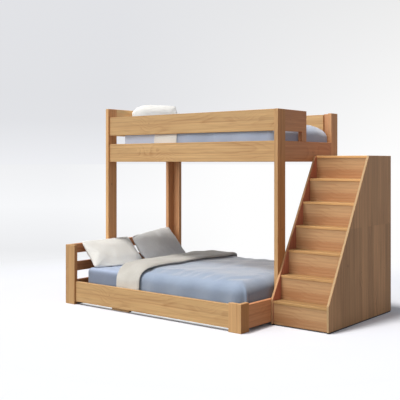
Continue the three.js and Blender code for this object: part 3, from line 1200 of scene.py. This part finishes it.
@dataclass
class Duvet:
    """A duvet that drapes over three sides of a mattress, its head end turned back on itself.

    Along the bed a place is measured from the turned-back edge; across it, along the cloth from the
    middle of the bed. rise is the height of the cover over the mattress, side the share of the
    band's loft that it keeps where it hangs, and widen how much wider the band is on the top.
    fold is the depth of the upright folds at the sides, which grow over the length turn. broad and
    small are the heights of the waves on the top. crease is the angle, in a hanging corner, at
    which a ridge stands out.
    """

    level: Level
    rise: float
    side: float
    radius: float = 0.1
    cell: float = 0.017
    loft: float = 0.026
    crown: float = 0.014
    band: float = 0.275
    widen: float = 0.2
    band_loft: float = 0.05
    gap: float = 0.02
    skew: float = 0.03
    fold: float = 0.007
    fold_length: float = 0.3
    turn: float = 0.16
    broad: float = 0.015
    small: float = 0.005
    crease: float = 1.13
    ridge: float = 0.018

    def __post_init__(self) -> None:
        """Reads the boxes that the duvet has to lie in, and the lengths of its cloth."""
        self.node = f"{self.level.value}_duvet"
        self.low, self.high = box_of(self.node)
        self.middle = (self.low.y + self.high.y) / 2
        self.half = (self.high.y - self.low.y) / 2 - self.fold
        self.top = box_of(f"{self.level.value}_mattress")[1].z + self.rise
        self.flat = self.half - self.radius
        self.foot = self.high.x - self.radius
        self.arc = self.radius * math.pi / 2
        self.drop = self.top - self.radius - self.low.z
        self.reach = self.flat + self.arc + self.drop

    def build(self) -> list[bpy.types.Object]:
        """Makes the cover and the turn-down of its lining, and dresses both.

        Returns:
            The cover and the turn-down.
        """
        cover = self._cover()
        band = self._turndown()
        for piece, finish in ((cover, COVERS[self.level]), (band, LININGS[self.level])):
            paint(piece, finish.material())
            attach(piece, BODY)
            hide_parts(self.node)
        return [cover, band]

    def across(self, spot: float, lift: float) -> tuple[Vector, Vector]:
        """Follows the cloth from the middle of the bed over the edge and down the side.

        Args:
            spot: Distance along the cloth from the middle, negative towards the front.
            lift: Height over the cover's upper face.

        Returns:
            The place in the plane across the bed, as (0, y, z), and the direction outwards.
        """
        side = -1.0 if spot < 0 else 1.0
        run = abs(spot)
        if run < self.flat:
            y, z, angle = run, self.top, 0.0
        elif run < self.flat + self.arc:
            angle = (run - self.flat) / self.radius
            y = self.flat + self.radius * math.sin(angle)
            z = self.top - self.radius * (1 - math.cos(angle))
        else:
            angle = math.pi / 2
            y = self.half
            z = self.top - self.radius - (run - self.flat - self.arc)
        out = Vector((0.0, side * math.sin(angle), math.cos(angle)))
        z += self.crown * math.cos(math.pi / 2 * min(1.0, run / self.half))
        return Vector((0.0, self.middle + side * y, z)) + out * lift, out

    def ripple(self, x: float, spot: float) -> float:
        """Soft unevenness of the filled cloth: broad on the top, upright folds at the sides.

        Args:
            x: Place along the bed.
            spot: Distance along the cloth from the middle, negative towards the front.

        Returns:
            Its height, outwards from the cloth.
        """
        hang = ease((abs(spot) - self.flat) / self.turn)
        broad = swell(x * 2.6, spot * 3.4, 3.0) * self.broad
        small = swell(x * 9.0, spot * 7.0, 9.0) * self.small
        phase = 2 * math.pi * x / self.fold_length + 2 * swell(x * 3, 0, 5)
        return (broad + small) * (1 - 0.6 * hang) + math.sin(phase) * self.fold * hang

    def _cover(self) -> bpy.types.Object:
        """The cover, from under the turn-down to the hem at the foot.

        Returns:
            The new object.
        """
        reach = self.reach
        start = self.low.x + 0.05
        length = self.foot - start + self.arc + self.drop
        columns = round(length / self.cell) + 1
        rows = 2 * round(reach / self.cell) + 1

        def point(i: int, j: int) -> Vector:
            """Place of the point at a column and row.

            Args:
                i: The column.
                j: The row.

            Returns:
                The place.
            """
            along = length * i / (columns - 1)
            spot = -reach + 2 * reach * j / (rows - 1)
            return self._cover_point(start, along, spot)

        def flat(i: int, j: int) -> tuple[float, float]:
            """Place on the flat cover."""
            return length * i / (columns - 1), 2 * reach * j / (rows - 1)

        mesh = grid_mesh(f"{self.node}_cover", columns, rows, point, flat)
        piece = new_object(f"{self.node}_cover", mesh)
        still = (self.half - self.radius * 0.6, self.foot - start)
        held = [
            i * rows + j
            for i in range(columns)
            for j in range(rows)
            if i < 3
            or length * i / (columns - 1) > still[1]
            or abs(-reach + 2 * reach * j / (rows - 1)) > still[0]
        ]
        ClothRun(frames=18, growth=0.012, pressure=1.0, bending=8.0, limit=0.01).settle(piece, held)
        finish_mesh(
            piece,
            ("SUBSURF", {"levels": 1, "render_levels": 1}),
            ("SOLIDIFY", {"thickness": self.loft, "offset": -1.0, "use_even_offset": False}),
        )
        return piece

    def _cover_point(self, start: float, along: float, spot: float) -> Vector:
        """Place on the cover's upper face, its foot end rounded over and its corners drawn in.

        Args:
            start: Where the cover begins along the bed.
            along: Length of cloth from there.
            spot: Distance along the cloth from the middle, negative towards the front.

        Returns:
            The place of that point of the cloth.
        """
        flat_end = self.foot - start
        over = max(0.0, along - flat_end)
        place, out = self.across(spot, 0.0)
        if over < self.arc:
            angle = over / self.radius
            x = start + min(along, flat_end) + self.radius * math.sin(angle)
            fall = self.radius * (1 - math.cos(angle))
        else:
            x = start + flat_end + self.radius
            fall = self.radius + over - self.arc
        bump = self.ripple(start + along, spot)
        beyond = abs(spot) - self.flat
        if over > 0 and beyond > 0:
            return self._corner(over, beyond, spot)
        z = place.z - fall
        lean = Vector((math.sin(min(over, self.arc) / self.radius), 0.0, 0.0)) if over else out
        spread = out + lean if over else out
        return Vector((x, place.y, max(z, self.low.z))) + spread.normalized() * bump

    def _corner(self, over: float, beyond: float, spot: float) -> Vector:
        """Rounds the hanging corner, so that the cloth turns from the side to the foot.

        Args:
            over: Length of cloth past the foot edge of the top.
            beyond: Length of cloth past the side edge of the top.
            spot: Distance along the cloth from the middle, negative towards the front.

        Returns:
            The place of that point of the cloth.
        """
        side = -1.0 if spot < 0 else 1.0
        depth = max(over, beyond)
        angle = math.atan2(over, beyond)
        bend = min(depth, self.arc) / self.radius
        ring = self.radius * math.sin(bend)
        fall = self.radius * (1 - math.cos(bend)) + max(0.0, depth - self.arc)
        nearness = math.exp(-(((angle - self.crease) / 0.1) ** 2))
        reach = ring + self.ridge * nearness * ease(depth / 0.14)
        x = self.foot + reach * math.sin(angle)
        y = self.middle + side * (self.flat + reach * math.cos(angle))
        return Vector((x, y, max(self.top - fall, self.low.z)))

    def _turndown(self) -> bpy.types.Object:
        """The turned-back end: a thick rolled band that shows the cover's lining.

        Returns:
            The new object.
        """
        reach = self.reach
        rows = 2 * round(reach / self.cell) + 1
        profile = self._band_profile()

        def point(i: int, j: int) -> Vector:
            """Place of a point of the section, slid askew and flatter where it hangs.

            Args:
                i: Number of the section.
                j: The point's number in it.

            Returns:
                The place.
            """
            spot = -reach + 2 * reach * i / (rows - 1)
            along, lift = profile[j]
            hang = ease((abs(spot) - self.half + self.radius) / self.radius)
            along *= 1 + self.widen * (1 - hang)
            share = along / self.band
            shift = self.skew * spot / reach + 0.012 * swell(spot * 3, share, 2.0)
            lift += 0.009 * swell(spot * 5, along * 9, 4.0) * ease(lift / 0.02)
            lift *= 1 - (1 - self.side) * hang
            place, out = self.across(spot, lift)
            x = self.low.x + self.skew / 2 + along + shift
            return Vector((x, place.y, place.z)) + out * self.ripple(x, spot) * 0.7

        def flat(i: int, j: int) -> tuple[float, float]:
            """Place on the flat lining."""
            return j * 0.02, 2 * reach * i / (rows - 1)

        name = f"{self.node}_turndown"
        piece = new_object(name, grid_mesh(name, rows, len(profile), point, flat, closed=True))
        cap_ends(piece.data)
        outward(piece.data)
        finish_mesh(piece, ("SUBSURF", {"levels": 2, "render_levels": 2}))
        return piece

    def _band_profile(self) -> list[tuple[float, float]]:
        """Section of the band along the bed, as (distance from its fold, height over the cover).

        Returns:
            The points of the section, in order.
        """
        full = self.band_loft
        end = self.band
        profile = [(0.05, -0.03), (0.012, -0.024), (-0.006, -0.006), (-0.008, full * 0.35)]
        profile += [(0.002, full * 0.72), (0.024, full * 0.95)]
        steps = 9
        for i in range(1, steps):
            share = i / steps
            profile.append((0.03 + (end - 0.07) * share, full * (1 - 0.06 * share)))
        profile += [(end - 0.022, full * 0.92), (end - 0.004, full * 0.8)]
        profile += [(end + 0.004, full * 0.62), (end - 0.002, self.gap + 0.004)]
        profile += [(end - 0.022, self.gap * 0.75), (end - 0.06, self.gap * 0.3)]
        profile += [(end - 0.1, 0.0), (end * 0.5, -0.004), (0.1, -0.008)]
        return profile


def cap_ends(mesh: bpy.types.Mesh) -> None:
    """Closes the open ends of a tube.

    Args:
        mesh: The tube.
    """
    with edited(mesh) as builder:
        rims = [edge for edge in builder.edges if edge.is_boundary]
        bmesh.ops.holes_fill(builder, edges=rims)


@dataclass
class Pillow:
    """A filled pillow in its case, sewn from two flat sides and blown up by simulation.

    lean is its angle from upright. front and back are how far it swells on either side of its rim,
    slant how much its far upper corner is pulled up, droop how much its near one hangs down, near
    how much that one is drawn in, draw how much its corners are rounded off, sag how far its
    filling has sunk, slump how far the middle of its lower edge has slid forward, crumple how deep
    its small folds are, firm the share of its flat outline that it keeps, and spread how much
    wider than its node it lies. spare is how much larger it's cut than it ends up, start how far
    each side begins from its middle, and uneven how much that differs from point to point.
    """

    node: str
    finish: ClothFinish
    slot: str
    seed: int
    lean: float
    front: float
    back: float
    slant: float = 0.0
    droop: float = 0.0
    draw: float = 0.0
    near: float = 0.0
    sag: float = 0.0
    slump: float = 0.0
    crumple: float = 0.003
    firm: float = 0.85
    spread: float = 1.03
    columns: int = 52
    rows: int = 30
    spare: float = 1.07
    start: float = 0.012
    uneven: float = 0.002
    pressure: float = 3.2

    CORNER = 8
    SIDE_DRAW = 0.45
    FOLDS = 10
    FOLD_REACH = 0.11
    LUMPS = 9.0
    SOFT = 0.006
    SLIDE = 0.07

    def build(self) -> bpy.types.Object:
        """Makes the pillow, leans it back and seats it in the box of its node.

        Returns:
            The new object.
        """
        low, high = box_of(self.node)
        lean = math.radians(self.lean)
        width = (high.y - low.y) * self.spread
        height = (high.z - low.z) / math.cos(lean) - self.slant
        piece = self._case(width * self.spare, height * self.spare)
        flat = [vertex.co / self.spare for vertex in piece.data.vertices]
        ClothRun(
            frames=34, pressure=self.pressure, stiffness=18, bending=0.4, limit=0.12
        ).settle(piece)
        self._fit(piece.data, flat, width, height)
        self._pull(piece.data, width, height)
        self._crumple(piece.data, width, height)
        piece.data.transform(Matrix.Rotation(-lean, 4, "Y"))
        self._seat(piece.data, low, high, height / 2 * math.cos(lean))
        outward(piece.data)
        finish_mesh(piece, ("SUBSURF", {"levels": 1, "render_levels": 1}))
        paint(piece, self.finish.material())
        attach(piece, BODY)
        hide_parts(self.node)
        return piece

    def _case(self, width: float, height: float) -> bpy.types.Object:
        """Two flat sides that share a rim, as a pillow case is cut.

        Args:
            width: Width of the flat case.
            height: Height of the flat case.

        Returns:
            The new object.
        """
        mesh = bpy.data.meshes.new(self.node)
        chance = random.Random(self.seed)
        shared: dict[tuple[int, int], bmesh.types.BMVert] = {}

        def point(i: int, j: int, side: int) -> bmesh.types.BMVert:
            """Adds the point at a column and row of a side, but a rim's point only once.

            Args:
                i: The column.
                j: The row.
                side: The side, 1 or -1.

            Returns:
                The point.
            """
            rim = i in (0, self.columns) or j in (0, self.rows)
            if (i, j) in shared:
                return shared[i, j]
            u = i / self.columns - 0.5
            v = j / self.rows - 0.5
            bulge = 0.0 if rim else side * (self.start + chance.uniform(0, self.uneven))
            made = builder.verts.new((bulge, u * width, v * height))
            if rim:
                shared[i, j] = made
            return made

        def flat(i: int, j: int) -> tuple[float, float]:
            """Place on the flat case."""
            return i / self.columns * width, j / self.rows * height

        rows = range(self.rows + 1)
        with edited(mesh) as builder:
            for side in (1, -1):
                points = [[point(i, j, side) for j in rows] for i in range(self.columns + 1)]
                lay_quads(builder, points, flat)
            bmesh.ops.recalc_face_normals(builder, faces=builder.faces)
        return new_object(f"{self.node}_case", mesh)

    def _fit(
        self, mesh: bpy.types.Mesh, flat: Sequence[Vector], width: float, height: float
    ) -> None:
        """Scales the blown-up pillow to its real width and height, and to each side's swell.

        Args:
            mesh: The pillow, upright round its middle.
            flat: Place of each point on the flat pillow.
            width: Width of the pillow.
            height: Height of the pillow.
        """
        spans = []
        for axis in range(3):
            values = [vertex.co[axis] for vertex in mesh.vertices]
            spans.append((min(values), max(values)))
        for vertex, start in zip(mesh.vertices, flat):
            for axis, size in ((1, width), (2, height)):
                least, most = spans[axis]
                place = (vertex.co[axis] - (least + most) / 2) * size / (most - least)
                vertex.co[axis] = place + (start[axis] - place) * self.firm
            if vertex.co.x > 0:
                sunk = 1 - self.sag * 2 * vertex.co.z / height
                vertex.co.x *= self.front * sunk / spans[0][1]
            else:
                vertex.co.x *= -self.back / spans[0][0]

    def _pull(self, mesh: bpy.types.Mesh, width: float, height: float) -> None:
        """Rounds the corners off, pulls the far upper one up and lets the near one hang.

        Args:
            mesh: The pillow, upright round its middle.
            width: Width of the pillow.
            height: Height of the pillow.
        """
        for vertex in mesh.vertices:
            u = 2 * vertex.co.y / width
            v = 2 * vertex.co.z / height
            vertex.co.y *= 1 - self.SIDE_DRAW * self.draw * abs(v) ** self.CORNER
            vertex.co.z *= 1 - self.draw * abs(u) ** self.CORNER
            vertex.co.z += self.slant * (1 + u) / 2 * (1 + v) / 2
            vertex.co.z -= self.droop * max(0.0, -u) ** 3 * (1 + v) / 2
            vertex.co.y += self.near * max(0.0, -u) * v

    def _crumple(self, mesh: bpy.types.Mesh, width: float, height: float) -> None:
        """Leaves short folds that run out from the corners, and an uneven filling.

        Args:
            mesh: The pillow, upright round its middle.
            width: Width of the pillow.
            height: Height of the pillow.
        """
        chance = random.Random(self.seed)
        corners = [(y, z, chance.uniform(0, math.tau)) for y in (-1, 1) for z in (-1, 1)]
        for vertex in mesh.vertices:
            _, across, up = vertex.co
            for y, z, phase in corners:
                aside = width / 2 - y * across
                below = height / 2 - z * up
                reach = math.hypot(aside, below)
                depth = self.crumple * math.exp(-reach / self.FOLD_REACH) * ease(reach / 0.03)
                vertex.co.x += depth * math.sin(self.FOLDS * math.atan2(below, aside) + phase)
            lumps = noise.noise(Vector((across, up, self.seed)) * self.LUMPS)
            share = (1 - (2 * across / width) ** 4) * (1 - (2 * up / height) ** 4)
            vertex.co.x += 2 * self.crumple * lumps * max(0.0, share)

    def _seat(self, mesh: bpy.types.Mesh, low: Vector, high: Vector, rise: float) -> None:
        """Stands the pillow's lower rim on the sheet and presses flat what would sink into it.

        Args:
            mesh: The leaned pillow, round its middle.
            low: Lowest corner of its node.
            high: Highest corner of its node.
            rise: Height of its middle over its lower rim.
        """
        least = min(vertex.co.x for vertex in mesh.vertices)
        shift = Vector((low.x - least, (low.y + high.y) / 2, low.z + rise))
        for vertex in mesh.vertices:
            aside = min(1.0, abs(2 * vertex.co.y / (high.y - low.y)))
            vertex.co += shift
            gap = vertex.co.z - low.z
            vertex.co.x += self.slump * (1 - aside**2) * math.exp(-max(0.0, gap) / self.SLIDE)
            if gap < self.SOFT:
                vertex.co.z = low.z + self.SOFT * math.exp(max(-40.0, gap / self.SOFT - 1))


@dataclass
class Hardware:
    """Small steel fixings of the slat bases, which repeat along the bed.

    slat is the width of a slat, and tape the share of the bed's width at which the first webbing
    runs, with the last as far from the other side.
    """

    level: Level
    staple_width: float = 0.012
    staple_wire: float = 0.0012
    slats: int = 14
    slat: float = 0.07
    tapes: int = 2
    tape: float = 0.25

    SOCKETS = {
        "Slats": "Int",
        "Start": "Vector",
        "Pitch": "Vector",
        "Tapes": "Int",
        "Tape Pitch": "Vector",
        "Width": "Float",
        "Wire": "Float",
    }
    WIRE_SIDES = 6

    def build(self) -> bpy.types.Object:
        """Places a staple through the webbing on every slat, by a tree of geometry nodes.

        Returns:
            The new object.
        """
        low, high = box_of(f"{self.level.value}_slat_base")
        name = f"{self.level.value}_webbing_staples"
        piece = new_object(name, bpy.data.meshes.new(name))
        tree = self._tree(STEEL.material())
        modifier = piece.modifiers.new("staples", "NODES")
        modifier.node_group = tree
        width = high.y - low.y
        values = {
            "Slats": self.slats,
            "Start": (low.x + self.slat / 2, low.y + width * self.tape, high.z),
            "Pitch": ((high.x - low.x - self.slat) / (self.slats - 1), 0.0, 0.0),
            "Tapes": self.tapes,
            "Tape Pitch": (0.0, width * (1 - 2 * self.tape), 0.0),
            "Width": self.staple_width,
            "Wire": self.staple_wire,
        }
        for item in tree.interface.items_tree:
            if item.in_out == "INPUT":
                modifier[item.identifier] = values[item.name]
        apply_modifiers(piece)
        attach(piece, BODY)
        return piece

    def _tree(self, material: bpy.types.Material) -> bpy.types.NodeTree:
        """Two rows of staples: points along the slats, copied to each tape.

        Args:
            material: The staples' material.

        Returns:
            The tree.
        """
        group = bpy.data.node_groups.new(f"{self.level.value} staple rows", "GeometryNodeTree")
        for name, kind in self.SOCKETS.items():
            group.interface.new_socket(name, in_out="INPUT", socket_type=f"NodeSocket{kind}")
        group.interface.new_socket("Geometry", in_out="OUTPUT", socket_type="NodeSocketGeometry")
        tree = Tree(group)
        given = tree.add("NodeGroupInput").outputs
        row, tapes = (tree.add("GeometryNodeMeshLine") for _ in range(2))
        bar = tree.add("GeometryNodeCurvePrimitiveLine")
        shift = tree.add("ShaderNodeCombineXYZ")
        section = tree.add("GeometryNodeCurvePrimitiveCircle")
        section.inputs["Resolution"].default_value = self.WIRE_SIDES
        wire = tree.add("GeometryNodeCurveToMesh")
        wire.inputs["Fill Caps"].default_value = True
        once, twice = (tree.add("GeometryNodeInstanceOnPoints") for _ in range(2))
        real = tree.add("GeometryNodeRealizeInstances")
        cover = tree.add("GeometryNodeSetMaterial")
        cover.inputs["Material"].default_value = material
        links = (
            (given["Slats"], row.inputs["Count"]),
            (given["Start"], row.inputs["Start Location"]),
            (given["Pitch"], row.inputs["Offset"]),
            (given["Tapes"], tapes.inputs["Count"]),
            (given["Tape Pitch"], tapes.inputs["Offset"]),
            (given["Width"], shift.inputs["Y"]),
            (shift.outputs[0], bar.inputs["End"]),
            (given["Wire"], section.inputs["Radius"]),
            (bar.outputs[0], wire.inputs["Curve"]),
            (section.outputs[0], wire.inputs["Profile Curve"]),
            (row.outputs[0], once.inputs["Points"]),
            (wire.outputs[0], once.inputs["Instance"]),
            (tapes.outputs[0], twice.inputs["Points"]),
            (once.outputs[0], twice.inputs["Instance"]),
            (twice.outputs[0], real.inputs[0]),
            (real.outputs[0], cover.inputs["Geometry"]),
            (cover.outputs[0], tree.add("NodeGroupOutput").inputs[0]),
        )
        for source, target in links:
            tree.join(source, target)
        return group


@dataclass(frozen=True)
class Lamp:
    """One large soft light, far away.

    turn is its rotation and spread the angle that it fills in the sky, both in degrees.
    """

    name: str
    turn: Point
    strength: float
    spread: float
    colour: Colour = (1.0, 1.0, 1.0)

    def hang(self) -> None:
        """Adds the light to the scene."""
        data = bpy.data.lights.new(self.name, "SUN")
        data.energy = self.strength
        data.color = self.colour
        data.angle = math.radians(self.spread)
        lamp = bpy.data.objects.new(self.name, data)
        lamp.rotation_euler = tuple(math.radians(angle) for angle in self.turn)
        bpy.context.collection.objects.link(lamp)


@dataclass
class Studio:
    """Camera, light, floor and background.

    The background's grey levels are written as on screen. The sky's follow the height of a
    direction, and the floor's the slope at which the camera's place sees it. SKY_BEHIND is the
    share of the sky's light that comes from a direction, by how far that lies behind the bed.
    FLOOR_COLOUR is what the bed gets back from the floor, and FLOOR_SEEN what the camera sees.
    glow keeps the floor under the bed light, up to the length seen from its foot rail, with an
    edge as wide as soft. fade is where the floor begins and ends to turn into the background.
    """

    camera_place: Point = (3.9917, -5.2908, 1.2966)
    camera_turn: float = math.radians(38.854)
    lens: float = 66.45
    shift_y: float = -0.0936
    sky: float = 0.43
    floor_size: float = 400.0
    glow: float = 0.8
    soft: float = 0.04
    seen: float = 0.08
    fade: tuple[float, float] = (2.4, 4.0)

    SKY_LEFT = ((0.0, 239), (0.03, 232), (0.0575, 226), (0.09, 225), (0.21, 226))
    SKY_RIGHT = ((0.0, 254), (0.06, 249), (0.09, 246), (0.118, 244), (0.15, 241), (0.21, 236))
    SKY_SIDES = (-0.107, 0.256)
    SKY_BEHIND = ((0.0, 1.0), (0.6, 0.45))
    SKY_TINT = (0.94, 0.975, 1.04)
    SKY_SEEN_TINT = (0.99, 1.0, 1.035)
    FLOOR_LEFT = ((0.0, 240), (0.0575, 248), (0.1185, 237), (0.139, 245), (0.18, 255))
    FLOOR_SIDES = (-0.19, 0.05)
    FLOOR_COLOUR = (0.25, 0.25, 0.25)
    FLOOR_SEEN = (0.775, 0.785, 0.835)
    FLOOR_FAR_TINT = (0.992, 1.0, 1.02)
    KEY = Lamp("key", (15.5, 0.0, -36.0), 2.6, 12.0, (1.0, 0.985, 0.95))
    FILL = Lamp("fill", (73.0, 0.0, -20.0), 1.48, 50.0)

    def build(self) -> None:
        """Sets up everything that isn't part of the object."""
        self._camera()
        self.KEY.hang()
        self.FILL.hang()
        self._world()
        self._floor()
        bpy.context.scene.view_settings.view_transform = "Standard"

    def _camera(self) -> None:
        """A level camera at the photograph's viewpoint."""
        data = bpy.data.cameras.new("camera")
        data.lens = self.lens
        data.sensor_width = 36.0
        data.shift_y = self.shift_y
        camera = bpy.data.objects.new("camera", data)
        camera.location = self.camera_place
        camera.rotation_euler = (math.pi / 2, 0.0, self.camera_turn)
        bpy.context.collection.objects.link(camera)
        bpy.context.scene.camera = camera

    def _right(self) -> Point:
        """Level direction to the right of the camera."""
        return (math.cos(self.camera_turn), math.sin(self.camera_turn), 0.0)

    def _ahead(self) -> Point:
        """Level direction ahead of the camera."""
        return (-math.sin(self.camera_turn), math.cos(self.camera_turn), 0.0)

    def _screen_ramp(
        self, tree: Tree, place: Socket, stops: Sequence[tuple[float, int]]
    ) -> Socket:
        """A ramp through grey levels that are written as on screen."""
        return tree.ramp(place, [(spot, linear(grey, grey, grey)[0]) for spot, grey in stops])

    def _share(self, tree: Tree, aside: Socket, sides: tuple[float, float]) -> Socket:
        """How far a place lies from the left side, at 0, to the right side, at 1.

        Args:
            tree: The node tree that it is for.
            aside: How far the place lies to the right.
            sides: Where the left side and the right side are.

        Returns:
            The share.
        """
        left, right = sides
        past = tree.math("SUBTRACT", aside, left)
        return tree.ramp(tree.math("DIVIDE", past, right - left), ((0.0, 0.0), (1.0, 1.0)))

    def _world(self) -> None:
        """Pale light, less from behind, with a gradient where the camera or a gloss looks."""
        world = bpy.data.worlds.new("surroundings")
        bpy.context.scene.world = world
        world.use_nodes = True
        tree = Tree(world.node_tree)
        light = tree.add("ShaderNodeBackground")
        light.inputs["Strength"].default_value = self.sky
        direction = tree.read("ShaderNodeTexCoord", "Generated")
        behind = tree.ramp(tree.parts(direction)[1], self.SKY_BEHIND)
        tree.join(tree.tint(self.SKY_TINT, behind), light.inputs["Color"])
        height = tree.parts(direction)[2]
        left = self._screen_ramp(tree, height, self.SKY_LEFT)
        cool = tree.tint(left, self.SKY_SEEN_TINT)
        right = self._screen_ramp(tree, height, self.SKY_RIGHT)
        aside = tree.vector("DOT_PRODUCT", direction, self._right())
        share = self._share(tree, aside, self.SKY_SIDES)
        seen = tree.add("ShaderNodeBackground")
        tree.join(tree.mix(share, cool, right), seen.inputs["Color"])
        path = tree.add("ShaderNodeLightPath").outputs
        rays = [path[f"Is {kind} Ray"] for kind in ("Camera", "Glossy", "Transmission")]
        surface = tree.add("ShaderNodeOutputWorld").inputs["Surface"]
        tree.blend(tree.math("MAXIMUM", *rays), light.outputs[0], seen.outputs[0], surface)

    def _floor(self) -> None:
        """A wide white floor that keeps the bed's shadow and fades into the background."""
        mesh = bpy.data.meshes.new("floor")
        with edited(mesh) as builder:
            bmesh.ops.create_grid(builder, x_segments=4, y_segments=4, size=self.floor_size)
        mesh.transform(Matrix.Translation((0.0, 0.0, -0.0005)))
        floor = new_object("floor", mesh)
        shader = Shader("pale_floor")
        path = shader.read("ShaderNodeLightPath", "Is Camera Ray")
        colour = shader.mix(path, self.FLOOR_COLOUR, self.FLOOR_SEEN)
        glow = shader.math("MULTIPLY", path, self._under_bed(shader))
        shader.coat(Base_Color=colour, Roughness=0.9, Specular_IOR_Level=0.0)
        shader.coat(Emission_Color=(1.0, 1.0, 1.0, 1.0), Emission_Strength=glow)
        self._fade_out(shader, path)
        floor.data.materials.append(shader.material)

    def _under_bed(self, shader: Shader) -> Socket:
        """Keeps the floor light under the bed, but for what shows under its foot rail.

        Args:
            shader: The material that it is for.

        Returns:
            Strength of the floor's glow.
        """
        low, high = box_of("lower_mattress")
        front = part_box("lower_rail_front")[1][1]
        head = low.x - self.soft
        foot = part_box("foot_rail_front")[1][0] - self.seen
        centre = ((head + foot) / 2, (front + high.y) / 2, 0.0)
        half = ((foot - head) / 2, (high.y - front) / 2)
        aside = shader.vector("SUBTRACT", shader.place(), centre)
        x, y, _ = shader.parts(shader.vector("ABSOLUTE", aside))
        margins = [shader.math("SUBTRACT", size, spot) for size, spot in zip(half, (x, y))]
        inside = shader.math("DIVIDE", shader.math("MINIMUM", *margins), self.soft)
        return shader.ramp(inside, ((0.0, 0.0), (1.0, self.glow)))

    def _fade_out(self, shader: Shader, path: Socket) -> None:
        """Turns the floor, away from the bed, into a gradient that no light changes.

        Args:
            shader: The material that it is for.
            path: Whether the camera sees it.
        """
        place = shader.place()
        away = shader.vector("SUBTRACT", place, self.camera_place)
        depth = shader.vector("DOT_PRODUCT", away, self._ahead())
        aside = shader.vector("DOT_PRODUCT", away, self._right())
        slope = shader.math("DIVIDE", self.camera_place[2], depth)
        left = self._screen_ramp(shader, slope, self.FLOOR_LEFT)
        cool = shader.tint(left, self.FLOOR_FAR_TINT)
        share = self._share(shader, shader.math("DIVIDE", aside, depth), self.FLOOR_SIDES)
        far = shader.add("ShaderNodeEmission")
        shader.join(shader.mix(share, cool, (1.0, 1.0, 1.0)), far.inputs["Color"])
        radius = shader.vector("LENGTH", place)
        near, gone = self.fade
        past = shader.math("DIVIDE", shader.math("SUBTRACT", radius, near), gone - near)
        faded = shader.math("MULTIPLY", shader.ramp(past, ((0.0, 0.0), (1.0, 1.0))), path)
        near_shader, far_shader = shader.surface.outputs[0], far.outputs[0]
        shader.blend(faded, near_shader, far_shader, shader.output.inputs["Surface"])


DUVETS = (Duvet(Level.LOWER, rise=0.032, side=0.6), Duvet(Level.UPPER, rise=0.014, side=0.2))
PILLOWS = (
    Pillow(
        "lower_pillow_white",
        WHITE,
        "white_cotton",
        seed=3,
        lean=42.0,
        front=0.06,
        back=0.1,
        draw=0.05,
        near=0.008,
        sag=0.3,
        slump=0.09,
    ),
    Pillow(
        "lower_pillow_grey",
        GREY,
        "grey_cotton",
        seed=8,
        lean=42.0,
        front=0.05,
        back=0.1,
        slant=0.075,
        draw=0.08,
        sag=0.2,
        slump=0.06,
    ),
    Pillow(
        "upper_pillow",
        LIT_WHITE,
        "white_cotton",
        seed=13,
        lean=20.0,
        front=0.07,
        back=0.115,
        slant=0.025,
        droop=0.085,
        draw=0.06,
    ),
)


def main() -> None:
    """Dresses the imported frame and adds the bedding, the light and the camera."""
    logging.basicConfig(level=logging.INFO, format="%(name)s: %(message)s")
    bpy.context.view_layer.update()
    Studio().build()
    PackedWood().dress()
    for duvet in DUVETS:
        level = duvet.level
        for piece in (Mattress(level).build(), *duvet.build(), Hardware(level).build()):
            log.info("built %s, %d faces", piece.name, len(piece.data.polygons))
    for pillow in PILLOWS:
        piece = pillow.build()
        log.info("built %s, %d faces", piece.name, len(piece.data.polygons))


if __name__ == "__main__":
    main()
